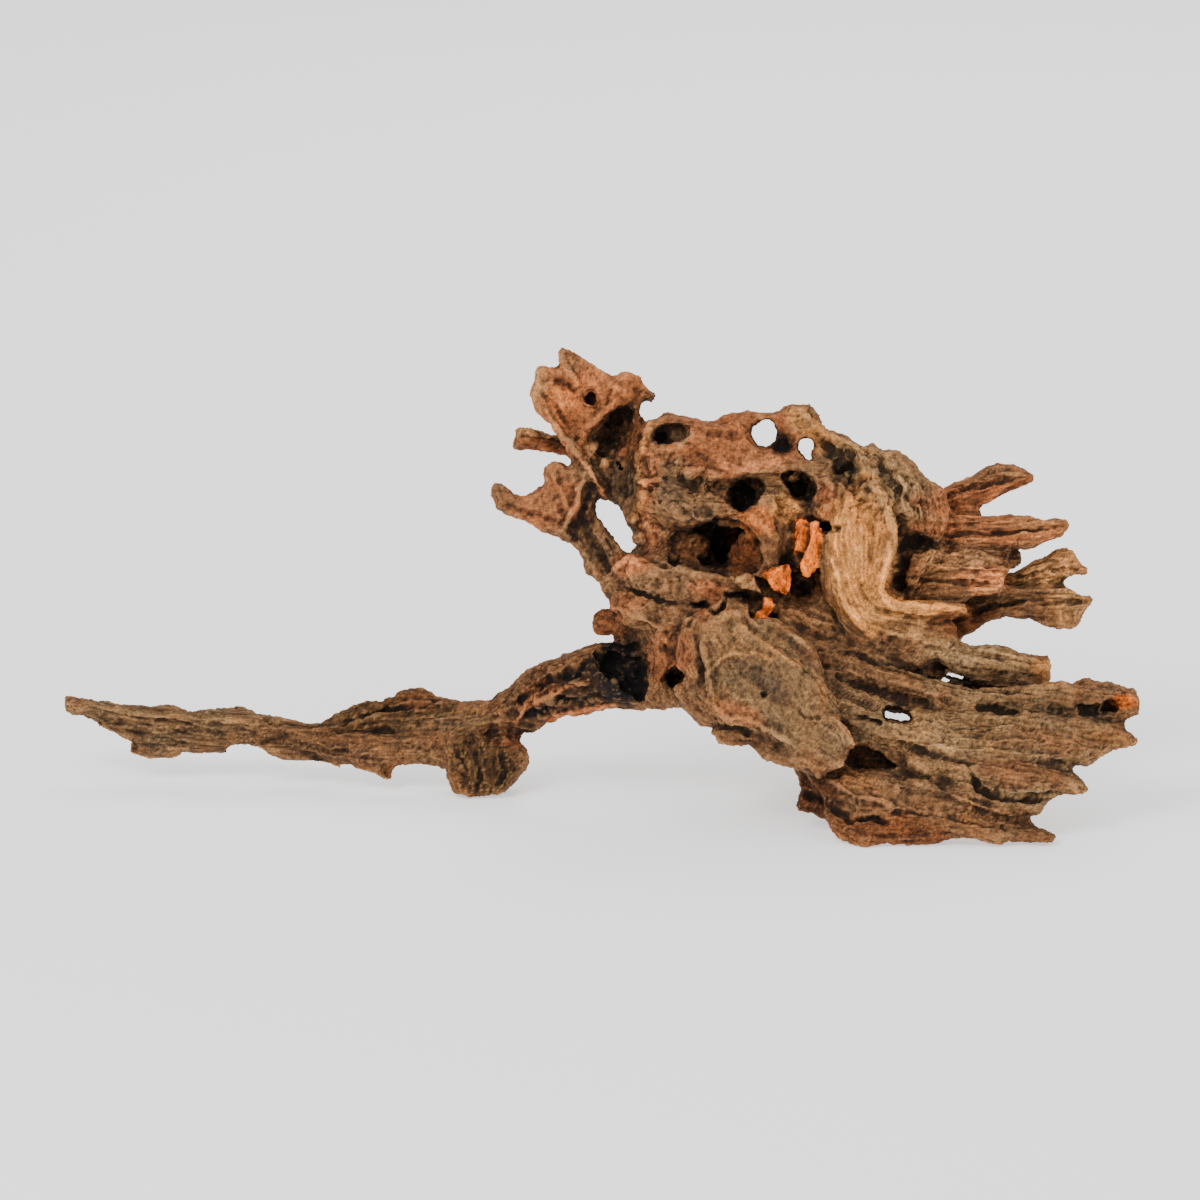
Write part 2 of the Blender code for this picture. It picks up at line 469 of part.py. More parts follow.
def floor_cutter(collection):
    """A block whose top is the floor."""
    bpy.ops.mesh.primitive_cube_add(size=1)
    block = bpy.context.object
    block.name = "floor"
    block.scale = Vector(FLOOR_BLOCK) * MM
    block.location = (0, 0, -FLOOR_BLOCK[2] * MM / 2)
    for home in block.users_collection:
        home.objects.unlink(block)
    collection.objects.link(block)
    bpy.context.view_layer.update()
    block.data.transform(block.matrix_world)
    block.matrix_world = Matrix.Identity(4)
    hide_cutter(block)
    return block


def build():
    """Fuses the limbs and plates, cuts the hollows, roughens the skin and wears the feet flat."""
    for obj in list(bpy.data.objects):
        bpy.data.objects.remove(obj)
    wood_parts = bpy.data.collections.new("driftwood")
    cutters = bpy.data.collections.new("cutters")
    for collection in (wood_parts, cutters):
        bpy.context.scene.collection.children.link(collection)

    hollow_meshes = [limb_mesh(name, *form) for name, form in HOLLOWS.items()]
    hollows = joined_object("hollows", hollow_meshes, cutters)
    hollows.data.transform(board_matrix())
    add_remesh(hollows, FUSE_VOXEL)
    hide_cutter(hollows)
    floor = floor_cutter(cutters)

    grown = [limb_mesh(name, *form) for name, form in LIMBS.items()]
    grown += [plate_mesh(name, *form) for name, form in PLATES.items()]
    wood = joined_object("driftwood", grown, wood_parts)
    wood.data.transform(board_matrix())
    add_remesh(wood, FUSE_VOXEL)
    add_smooth(wood, 1)
    add_cut(wood, hollows)
    add_remesh(wood, FUSE_VOXEL)
    for name, (size, strength) in ROUGHNESS.items():
        add_roughness(wood, name, size, strength)
    add_smooth(wood, 1)
    wood.data = largest_shell(applied_mesh(wood))
    wood.modifiers.clear()
    thin = wood.modifiers.new("thin_out", "DECIMATE")
    thin.ratio = TRIANGLES / triangle_count(wood.data)
    add_cut(wood, floor)
    wood.data = centred_mesh(applied_mesh(wood))
    wood.modifiers.clear()
    wood.data.materials.append(driftwood_material())


build()
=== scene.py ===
"""Aquarium driftwood: the dressed model of one weathered root crown.

Places on the wood are given on a drawing board that faces its best side and is leaned back by the
attitude in which the wood lies. A board place is (across, up) or (across, up, depth) in
millimetres, with across to the right and depth away from the viewer.
"""

import logging
from dataclasses import dataclass, field
from enum import Enum
from itertools import product
from math import cos, pi, radians, sin

import bmesh
import bpy
import numpy as np
from mathutils import Matrix, Vector
from mathutils.bvhtree import BVHTree


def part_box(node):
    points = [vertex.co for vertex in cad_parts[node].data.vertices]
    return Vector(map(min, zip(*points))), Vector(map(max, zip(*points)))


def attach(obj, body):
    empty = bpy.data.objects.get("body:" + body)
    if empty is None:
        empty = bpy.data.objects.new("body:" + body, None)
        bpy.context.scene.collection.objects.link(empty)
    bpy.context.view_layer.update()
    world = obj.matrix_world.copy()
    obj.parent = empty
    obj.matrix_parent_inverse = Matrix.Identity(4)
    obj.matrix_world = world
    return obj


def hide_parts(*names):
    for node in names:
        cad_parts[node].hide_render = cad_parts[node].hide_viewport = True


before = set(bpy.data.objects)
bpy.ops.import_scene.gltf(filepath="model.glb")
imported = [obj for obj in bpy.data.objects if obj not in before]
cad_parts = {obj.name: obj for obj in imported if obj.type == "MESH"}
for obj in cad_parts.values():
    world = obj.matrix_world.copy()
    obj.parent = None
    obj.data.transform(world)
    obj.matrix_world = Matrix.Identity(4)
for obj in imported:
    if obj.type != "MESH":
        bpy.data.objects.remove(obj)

log = logging.getLogger("driftwood")

MM = 0.001
PHOTO_WIDTH = 0.480

# Gradient noise: its scaling to about -1 to 1, and the shift between its octaves
NOISE_SCALE = 1.6
OCTAVE_SHIFT = 17.3
# Fibre noise: corners of its lattice each way, waves across a width, and samples along a fibre
LATTICE = 64
FIBRE_WAVES = 1.9
SAMPLES_A_WIDTH = 2.6
FEWEST_SAMPLES = 5
# Borders of stains and grounds fade out between these shares of their half sizes
BORDER_END = 1.25
STAIN_BORDER = 0.65
GROUND_BORDER = 0.75


class Tone(Enum):
    """The colours of the dry wood, as a viewer sees them in even light, with a near-black that is painted
    shade in deep hollows and cracks and a dark umber that is both dark wood and painted shade in the
    hollows.
    """

    BROWN = (0.44, 0.30, 0.19)
    HEART = (0.62, 0.37, 0.22)
    RUST = (0.50, 0.29, 0.17)
    TAN = (0.78, 0.51, 0.27)
    STRAW = (0.62, 0.43, 0.26)
    GREY = (0.46, 0.33, 0.22)
    ASH = (0.51, 0.38, 0.25)
    SLATE = (0.36, 0.27, 0.19)
    MOSS = (0.28, 0.19, 0.10)
    # Dark brown of the wood, also laid as painted shade in the hollows
    UMBER = (0.25, 0.15, 0.08)
    EARTH = (0.42, 0.24, 0.13)
    # Near-black painted shade for deep hollows, the eyes, the mouth and cracks
    HOLLOW_SHADE = (0.10, 0.065, 0.04)
    TORN = (0.94, 0.44, 0.12)
    PEACH = (0.76, 0.43, 0.22)

    def linear(self) -> np.ndarray:
        """The colour as scene-linear numbers."""
        return np.array(self.value) ** 2.2


@dataclass(frozen=True)
class Patch:
    """A stain of one tone, or painted shade in a hollow, with a soft, uneven border.

    The middle and the half sizes are board millimetres, turn is in degrees, and light makes the
    tone darker or paler.
    """

    tone: Tone
    middle: tuple[float, float]
    half: tuple[float, float]
    turn: float = 0.0
    strength: float = 0.9
    light: float = 1.0


class Relief(Enum):
    """How rough a part is: shares of lumps, folds, flakes, cracks, pits, knobs and streaks."""

    PLAIN = (0.9, 0.35, 0.7, 0.25, 0.3, 0.35, 0.35)
    SMOOTH = (0.3, 0.1, 0.1, 0.1, 0.05, 0.05, 0.55)
    BARE = (0.5, 0.1, 0.2, 0.0, 0.1, 0.1, 0.15)
    FIBROUS = (0.6, 0.35, 0.7, 0.2, 0.05, 0.1, 0.75)
    PLATED = (1.0, 0.15, 0.9, 0.08, 0.1, 0.1, 0.3)
    BARK = (1.1, 0.4, 0.8, 0.2, 0.5, 0.3, 0.5)
    GNARLED = (1.3, 0.2, 0.6, 0.1, 0.8, 0.8, 0.2)


@dataclass(frozen=True)
class Ground:
    """A part of the surface with one kind of relief, its middle and half sizes on the board."""

    relief: Relief
    middle: tuple[float, float]
    half: tuple[float, float]
    turn: float = 0.0


@dataclass(frozen=True)
class Stroke:
    """One pass of the carving tool over the front, raised where height is positive."""

    route: tuple[tuple[float, float], ...]
    half_width: float
    height: float


@dataclass(frozen=True)
class Vein:
    """A narrow band of tone along a route on the board: a pale edge or ridge, or painted shade along a
    crack.
    """

    tone: Tone
    route: tuple[tuple[float, float], ...]
    half_width: float
    strength: float = 0.8


@dataclass(frozen=True)
class Bulge:
    """A rounded lump of wood: its middle and half sizes on the board, turned in degrees."""

    middle: tuple[float, float, float]
    half: tuple[float, float, float]
    turn: float = 0.0


@dataclass(frozen=True)
class Slab:
    """A flat-faced block: its outline on the board and its nearest and furthest depth."""

    outline: tuple[tuple[float, float], ...]
    near: float
    far: float


@dataclass(frozen=True)
class Board:
    """The drawing board: its lean and the place of its origin in the frame, in millimetres."""

    lean: float = radians(15)
    origin: tuple[float, float, float] = (0.32, 8.10, 82.2)

    def axes(self) -> np.ndarray:
        """Rows are the board's across, up and depth directions in the frame."""
        low, high = sin(self.lean), cos(self.lean)
        return np.array(((1.0, 0.0, 0.0), (0.0, low, high), (0.0, high, -low)))

    def places(self, points: np.ndarray) -> np.ndarray:
        """Board places of points.

        Args:
            points: frame positions in metres, one a row.

        Returns:
            The board places in millimetres, one a row.
        """
        return (points / MM - np.array(self.origin)) @ self.axes().T

    def point(self, across: float, up: float, depth: float) -> Vector:
        """The frame position, in metres, of a board place."""
        place = np.array((across, up, depth)) @ self.axes() + np.array(self.origin)
        return Vector(place * MM)

    def grain_turn(self, angle: float) -> Matrix:
        """The turn that lays X along a grain direction.

        Args:
            angle: the direction on the board, in radians from across towards up.

        Returns:
            A 3 by 3 rotation matrix in the frame.
        """
        across, up, depth = (Vector(row) for row in self.axes())
        along = across * cos(angle) + up * sin(angle)
        aside = depth.cross(along)
        return Matrix((along, aside, depth)).transposed()


BOARD = Board()


@dataclass
class Noise:
    """Seeded gradient noise, worked out for many points at once."""

    seed: int
    size: int = 256
    order: np.ndarray = field(init=False)
    slopes: np.ndarray = field(init=False)

    def __post_init__(self) -> None:
        """Draws the table of slopes."""
        draw = np.random.default_rng(self.seed)
        order = draw.permutation(self.size)
        self.order = np.concatenate((order, order))
        slopes = draw.normal(size=(self.size, 3))
        self.slopes = slopes / np.linalg.norm(slopes, axis=1, keepdims=True)

    def at(self, points: np.ndarray) -> np.ndarray:
        """Noise between about -1 and 1 with one wave for each unit of length."""
        cell = np.floor(points).astype(np.int64)
        local = points - cell
        fade = local**3 * (local * (local * 6 - 15) + 10)
        total = np.zeros(len(points))
        for corner in product((0, 1), repeat=3):
            spot = (cell + corner) % self.size
            index = self.order[spot[:, 0]]
            for axis in (1, 2):
                index = self.order[(index + spot[:, axis]) % self.size]
            share = np.prod(np.where(corner, fade, 1 - fade), axis=1)
            total += share * np.sum(self.slopes[index] * (local - corner), axis=1)
        return total * NOISE_SCALE

    def cloud(self, points: np.ndarray, octaves: int = 3, gain: float = 0.5) -> np.ndarray:
        """Noise with finer noise added to it, each octave weaker by gain."""
        total = np.zeros(len(points))
        share = 1.0
        for octave in range(octaves):
            total += share * self.at(points * 2.0**octave + OCTAVE_SHIFT * octave)
            share *= gain
        return total


@dataclass(frozen=True)
class Cloud:
    """Cloudy noise over the board, whose widest wave is given in millimetres."""

    seed: int
    wave: float
    octaves: int = 3
    gain: float = 0.5
    shift: float = 0.0

    def over(self, places: np.ndarray) -> np.ndarray:
        """The noise at board places, one value a row."""
        return Noise(self.seed).cloud(places / self.wave + self.shift, self.octaves, self.gain)


@dataclass
class Fibre:
    """Seeded noise drawn out along the fibres.

    Width is the noise's wave across the fibres and length is how far it is drawn out, in
    millimetres.
    """

    width: float
    length: float
    seed: int
    table: np.ndarray = field(init=False)

    def __post_init__(self) -> None:
        """Fills the lattice of values."""
        self.table = np.random.default_rng(self.seed).normal(size=LATTICE**3).astype(np.float32)

    def lattice(self, points: np.ndarray) -> np.ndarray:
        """Smooth values between the corners of the lattice."""
        cell = np.floor(points).astype(np.int32)
        share = (points - cell).astype(np.float32)
        share = share * share * (3 - 2 * share)
        near = [(cell[:, axis] + step) & (LATTICE - 1) for axis in range(3) for step in (0, 1)]
        layers = []
        for high in (0, 1):
            rows = []
            for middle in (0, 1):
                base = near[4 + high] * LATTICE * LATTICE + near[2 + middle] * LATTICE
                low = self.table[base + near[0]]
                rows.append(low + share[:, 0] * (self.table[base + near[1]] - low))
            layers.append(rows[0] + share[:, 1] * (rows[1] - rows[0]))
        return layers[0] + share[:, 2] * (layers[1] - layers[0])

    def drawn(self, places: np.ndarray, ways: np.ndarray) -> np.ndarray:
        """The noise at places.

        Args:
            places: board places, one a row.
            ways: the way of the fibres at each place.

        Returns:
            One value a place, with a spread of 1 around 0.
        """
        steps = max(FEWEST_SAMPLES, int(self.length / self.width * SAMPLES_A_WIDTH))
        total = np.zeros(len(places), dtype=np.float32)
        for offset in np.linspace(-0.5, 0.5, steps):
            share = 1 - 3 * offset**2
            along = places + ways * (offset * self.length)
            total += share * self.lattice(along * (FIBRE_WAVES / self.width))
        total -= total.mean()
        return total / total.std()


def smoothstep(low: float, high: float, value: np.ndarray) -> np.ndarray:
    """0 below low, 1 above high, and a smooth climb between them."""
    share = np.clip((value - low) / (high - low), 0.0, 1.0)
    return share * share * (3 - 2 * share)


def distance_to_route(
    places: np.ndarray, route: tuple[tuple[float, ...], ...]
) -> tuple[np.ndarray, np.ndarray]:
    """Distances from places to a route of straight runs.

    Args:
        places: one place a row, in as many dimensions as the route.
        route: the route's corners.

    Returns:
        The distance of each place, and how far along the route its nearest point lies, 0 to 1.
    """
    corners = np.array(route, dtype=float)
    if len(corners) == 1:
        return np.linalg.norm(places - corners[0], axis=1), np.full(len(places), 0.5)
    spans = np.linalg.norm(np.diff(corners, axis=0), axis=1)
    starts = np.concatenate(((0.0,), np.cumsum(spans)))
    best = np.full(len(places), np.inf)
    along = np.zeros(len(places))
    for start, end, begun, span in zip(corners, corners[1:], starts, spans):
        step = (end - start) / span
        reach = np.clip((places - start) @ step, 0.0, span)
        gap = np.linalg.norm(places - start - reach[:, None] * step, axis=1)
        nearer = gap < best
        best = np.where(nearer, gap, best)
        along = np.where(nearer, (begun + reach) / starts[-1], along)
    return best, along


def reach_of(places: np.ndarray, spot: Patch | Ground) -> np.ndarray:
    """How far places lie from a spot's middle, as a share of its half sizes."""
    offset = places[:, :2] - np.array(spot.middle)
    turn = radians(spot.turn)
    along = (offset[:, 0] * cos(turn) + offset[:, 1] * sin(turn)) / spot.half[0]
    aside = (offset[:, 1] * cos(turn) - offset[:, 0] * sin(turn)) / spot.half[1]
    return np.hypot(along, aside)


def flake_cover(places: np.ndarray, slab: Slab) -> np.ndarray:
    """Which places lie on a slab: inside its outline, grown a little, and near its front."""
    grown = 1.06
    before, behind = 4, 8
    across, up, depth = places.T
    corners = np.array(slab.outline)
    middle = corners.mean(axis=0)
    corners = middle + (corners - middle) * grown
    inside = np.zeros(len(places), dtype=bool)
    for start, end in zip(corners, np.roll(corners, -1, axis=0)):
        spans = (start[1] > up) != (end[1] > up)
        crossing = start[0] + (up - start[1]) * (end[0] - start[0]) / (end[1] - start[1] + 1e-9)
        inside ^= spans & (across < crossing)
    return inside & (depth > slab.near - before) & (depth < slab.near + behind)


def form_object(name: str, sheet: bmesh.types.BMesh) -> bpy.types.Object:
    """A linked object with the mesh of a bmesh, which is freed."""
    mesh = bpy.data.meshes.new(name)
    sheet.to_mesh(mesh)
    sheet.free()
    made = bpy.data.objects.new(name, mesh)
    bpy.context.scene.collection.objects.link(made)
    return made


def applied_mesh(piece: bpy.types.Object) -> bpy.types.Mesh:
    """The mesh of an object with its modifiers worked in."""
    graph = bpy.context.evaluated_depsgraph_get()
    return bpy.data.meshes.new_from_object(piece.evaluated_get(graph))


def add_slab(sheet: bmesh.types.BMesh, slab: Slab) -> None:
    """Adds a slab's closed block to a bmesh."""
    corners = [sheet.verts.new(BOARD.point(*corner, slab.near)) for corner in slab.outline]
    front = sheet.faces.new(corners)
    grown = bmesh.ops.extrude_face_region(sheet, geom=[front])
    deep = [part for part in grown["geom"] if isinstance(part, bmesh.types.BMVert)]
    bmesh.ops.translate(sheet, verts=deep, vec=Vector(BOARD.axes()[2]) * ((slab.far - slab.near) * MM))
    block = {face for vert in deep for face in vert.link_faces} | {front}
    bmesh.ops.recalc_face_normals(sheet, faces=list(block))


def add_bulge(sheet: bmesh.types.BMesh, bulge: Bulge) -> None:
    """Adds a bulge's closed ball to a bmesh."""
    made = bmesh.ops.create_icosphere(sheet, subdivisions=3, radius=MM)
    lay = BOARD.grain_turn(radians(bulge.turn)).to_4x4() @ Matrix.Diagonal((*bulge.half, 1.0))
    place = Matrix.Translation(BOARD.point(*bulge.middle))
    bmesh.ops.transform(sheet, matrix=place @ lay, verts=made["verts"])


GRAIN_ANGLES = tuple(radians(20 * step) for step in range(9))
GRAIN_BANKS = ("grain_a", "grain_b", "grain_c")

# Routes that the grain follows, on the board
GRAIN_ROUTES: tuple[tuple[tuple[float, float, float], ...], ...] = (
    ((-214, -42, 46), (-170, -50, 43), (-130, -54, 38), (-96, -60, 31), (-62, -60, 28)),
    ((-111, -51, 37), (-90, -45, 35), (-60, -45, 30), (-36, -44, 22)),
    ((-36, -44, 22), (-20, -36, 16), (0, -31, 9), (20, -28, 4)),
    ((-50, -52, 30), (-47, -78, 26)),
    ((-14, 48, 4), (-6, 26, 6), (8, 2, 3)),
    ((-42, 40, -2), (-22, 34, 0), (-8, 46, 1)),
    ((-34, 65, 30), (-12, 60, 27), (4, 52, 20)),
    ((-14, 56, 8), (-20, 76, 6), (-24, 92, 8)),
    ((-6, 58, 8), (-6, 80, 8), (-14, 100, 10)),
    ((4, 58, 12), (8, 78, 10), (16, 90, 10)),
    ((18, 66, 6), (17, 44, 4), (16, 26, 4)),
    ((22, 68, 0), (50, 72, 0), (86, 76, 0)),
    ((20, 56, -4), (40, 60, -8), (62, 54, -9), (88, 50, -10)),
    ((20, 42, -2), (36, 36, -10), (62, 38, -14)),
    ((4, 12, -2), (30, 6, -12), (58, 1, -14)),
    ((2, -2, -4), (26, -9, -12), (44, -14, -14)),
    ((27, -12, -10), (30, -38, -6)),
    ((62, 34, -14), (68, 12, -16)),
    ((44, -6, -16), (48, -28, -26), (62, -50, -36)),
    ((52, -2, -20), (66, -24, -32), (88, -52, -42), (99, -62, -44)),
    ((44, -52, -36), (66, -60, -36), (92, -76, -36)),
    ((58, 6, -12), (80, -8, -14), (100, -20, -16)),
    ((94, 50, -8), (92, 32, -14), (93, 8, -18), (102, -10, -20), (120, -18, -18), (142, -22, -14),
     (180, -28, -8)),
    ((106, 50, -10), (110, 32, -20), (108, 16, -24), (106, 4, -24), (116, -3, -22), (148, -4, -18)),
    ((92, 62, -2), (104, 50, -8), (112, 32, -14)),
    ((108, 58, -2), (120, 48, -6), (122, 32, -8)),
    ((120, 54, 2), (131, 42, 0), (132, 28, -3)),
    ((126, 38, 16), (150, 44, 19), (174, 51, 20)),
    ((122, 28, 8), (160, 28, 11), (188, 31, 12)),
    ((114, 12, 0), (140, 10, 2), (165, 8, 4)),
    ((158, 6, 20), (178, 12, 22), (197, 13, 24)),
    ((140, -10, 10), (166, -2, 14), (198, -1, 16)),
    ((84, -20, -14), (124, -34, -22), (166, -39, -25), (208, -41, -24)),
    ((90, -32, -22), (126, -46, -29), (176, -50, -32), (212, -55, -31)),
    ((92, -42, -29), (136, -56, -35), (202, -61, -35)),
    ((96, -56, -34), (124, -63, -38), (168, -70, -41), (194, -75, -40)),
    ((88, -66, -36), (118, -77, -41), (176, -84, -43)),
    ((82, -74, -36), (108, -85, -43), (154, -92, -48), (180, -95, -48)),
    ((30, 24, 38), (84, 12, 48), (112, 4, 38)),
    ((78, -8, 36), (94, -46, 54), (104, -73, 66)),
    ((98, -4, 40), (146, -24, 48), (174, -29, 48)),
    ((30, -26, 26), (90, -28, 36), (116, -28, 20)),
)

# Freshly torn flakes that stand on the front, and the round stubs cut away behind them
TORN_FLAKES: tuple[Slab, ...] = (
    Slab(((77.6, 19), (77.2, 26), (78, 31.6), (80.2, 33), (82.6, 31.6), (82.8, 26), (82.2, 21),
          (80.4, 18.2)), -14, -4),
    Slab(((84, 30.6), (86.4, 31), (88.6, 28), (88.2, 20), (87, 13.4), (83.2, 9), (80.8, 10.4),
          (79.8, 14.6), (81.4, 18), (83.4, 21.4), (83.8, 26)), -17.5, -4),
    Slab(((65, 11), (69, 12.4), (75, 14.6), (76.6, 10), (76, 3), (73.8, 1.4), (69.4, 3.2),
          (67, 6.6)), -20, -4),
    Slab(((65.4, 1), (68.8, 0.8), (69, -3.4), (66.4, -7.4), (62.6, -9), (60.8, -8), (62.4, -5),
          (64.8, -3.6)), -24, -10),
)
FLAKE_BEDS: tuple[Slab, ...] = (
    Slab(((75.5, 9), (88, 9), (88.4, 33), (76, 34)), -40, -9.6),
    Slab(((62, 14), (77, 15), (78, 1), (66, 0.6), (62, 6)), -40, -15.5),
    Slab(((59, -0.5), (70, 1.5), (70, -7.4), (59, -7.4)), -40, -14),
)
# Openings and pockets with sharp rims
POCKETS: tuple[Slab, ...] = (
    Slab(((113.4, -44.8), (117, -44.2), (121, -44.8), (124, -46.6), (125.2, -48), (120, -47.8),
          (115, -46.8)), -60, 25),
    Slab(((137.6, -27.2), (141, -29), (146, -31), (151.6, -32.4), (151.6, -33.4), (145, -32.6),
          (140, -31), (137.4, -29)), -60, 40),
    Slab(((79.2, 62), (81, 65), (85, 64), (85.6, 60), (84.6, 55), (82.4, 56.6), (80, 59.6)), -60, 60),
    Slab(((5.6, 56.6), (7.2, 55.8), (10.6, 52.4), (9.6, 50.8), (7.4, 53)), -30, 60),
    Slab(((95, -60.4), (100, -58), (106, -58.2), (112, -60.5), (119, -66.5), (113, -68),
          (106, -67.2), (99, -66)), -41.5, -27),
    # Mouth, top pit, both eyes and the black gap in the neck
    Slab(((27.8, 14), (27.6, 24), (31, 27.4), (36, 28), (40.6, 31), (46, 33.2), (54, 32.4), (60, 29),
          (64.4, 23), (66, 16.4), (63, 10.8), (56, 9), (48, 9.4), (42, 10), (38, 11.6), (34, 14.6),
          (30.4, 13)), -30, -4.5),
    Slab(((21.4, 65), (23, 69.4), (28, 70.6), (33, 70), (35, 66.4), (33, 63.6), (28, 62.6),
          (23, 61.4)), -30, 3),
    Slab(((52.4, 44), (55, 48), (60, 49), (65, 47.4), (65.4, 43), (62.4, 38.4), (57, 35.4), (53.4, 36),
          (54, 40)), -30, 4),
    Slab(((72, 50.4), (76.6, 52), (82, 50.6), (85.6, 46.6), (86.4, 42), (83.4, 39.4), (79, 40.6),
          (75, 44.6)), -30, 2),
    Slab(((-3, -21.6), (-0.6, -19), (3, -18.8), (5, -16.8), (10, -17.8), (15.6, -16.4), (17, -19.6),
          (19.6, -22), (18.4, -28), (19.4, -34), (17.6, -40), (14.6, -41.4), (13, -37.6), (8.6, -36.6),
          (6.6, -32.6), (2, -31.6), (-0.6, -28.6), (0.2, -25)), -30, 4),
)
# Ragged flakes that widen the branch's blade
BLADES: tuple[Slab, ...] = (
    Slab(((-203, -50), (-195, -54), (-189, -57), (-190, -61.4), (-184, -63.8), (-173, -64), (-168, -61),
          (-159, -62), (-150.4, -62.2), (-149.4, -57), (-170, -52)), 40.5, 45.5),
    Slab(((-138, -58), (-133, -61.8), (-126, -64.4), (-112, -65.6), (-104, -68), (-106, -62),
          (-124, -58)), 33, 39),
)
# Rounded lumps that fill out the form
BULGES: tuple[Bulge, ...] = (
    Bulge((2, -9, -1), (6.2, 5.6, 4.5)),
    Bulge((35, 20.6, 4), (9.5, 7.6, 8.5), 12),
    Bulge((60, 18, 5), (14, 8.6, 9), 66),
    Bulge((77.6, 48.6, -4.5), (2.6, 1.7, 6)),
    Bulge((91, 35.2, -11), (6, 4.6, 7)),
    Bulge((90.5, 24, -11), (5, 3.4, 7)),
    Bulge((87, 58.5, -5), (2.8, 3.2, 5)),
    Bulge((126, -26, 8), (14, 6.5, 6), -14),
    Bulge((148, -34.8, -2), (10, 2.6, 6), -12),
    Bulge((165, -33.2, -4), (15, 3.6, 5), -4),
    Bulge((203, -46.4, -24), (3.4, 2.6, 3)),
    Bulge((104, -46, -18), (6.5, 3.4, 6), -12),
    Bulge((31, -30, 8), (7, 7, 4)),
    Bulge((56, -54.5, -37), (13, 2.8, 5), -10),
    Bulge((-212.6, -42.3, 45), (3.2, 1.7, 2.4)),
    Bulge((-95, -45.4, 37), (15, 4.2, 5), 14),
    Bulge((-70, -64.4, 30), (13, 2.2, 4), 2),
    Bulge((115.5, -42.4, -16), (6, 1.8, 10), -14),
    Bulge((-76, -38.2, 33), (7, 2.4, 3)),
    Bulge((-54, -42.8, 28), (16, 2.2, 4), -4),
    Bulge((-26, 34, -4), (1.2, 1, 3)),
    Bulge((-23, 33, -4), (1, 1, 3)),
    Bulge((-16.4, 33.6, -4), (1.2, 1.1, 3)),
    Bulge((164.5, 16.5, 14), (4.6, 4.6, 5)),
    Bulge((13, 32.6, -3), (2.8, 2.4, 4)),
    Bulge((15.6, 25, -3), (2, 3, 4)),
    Bulge((18.6, 47, -6), (3.4, 2.6, 4)),
    Bulge((19, 41, -7), (3.2, 2.4, 4)),
    Bulge((37, 51.4, -9), (5, 2.4, 2.6), 14),
)

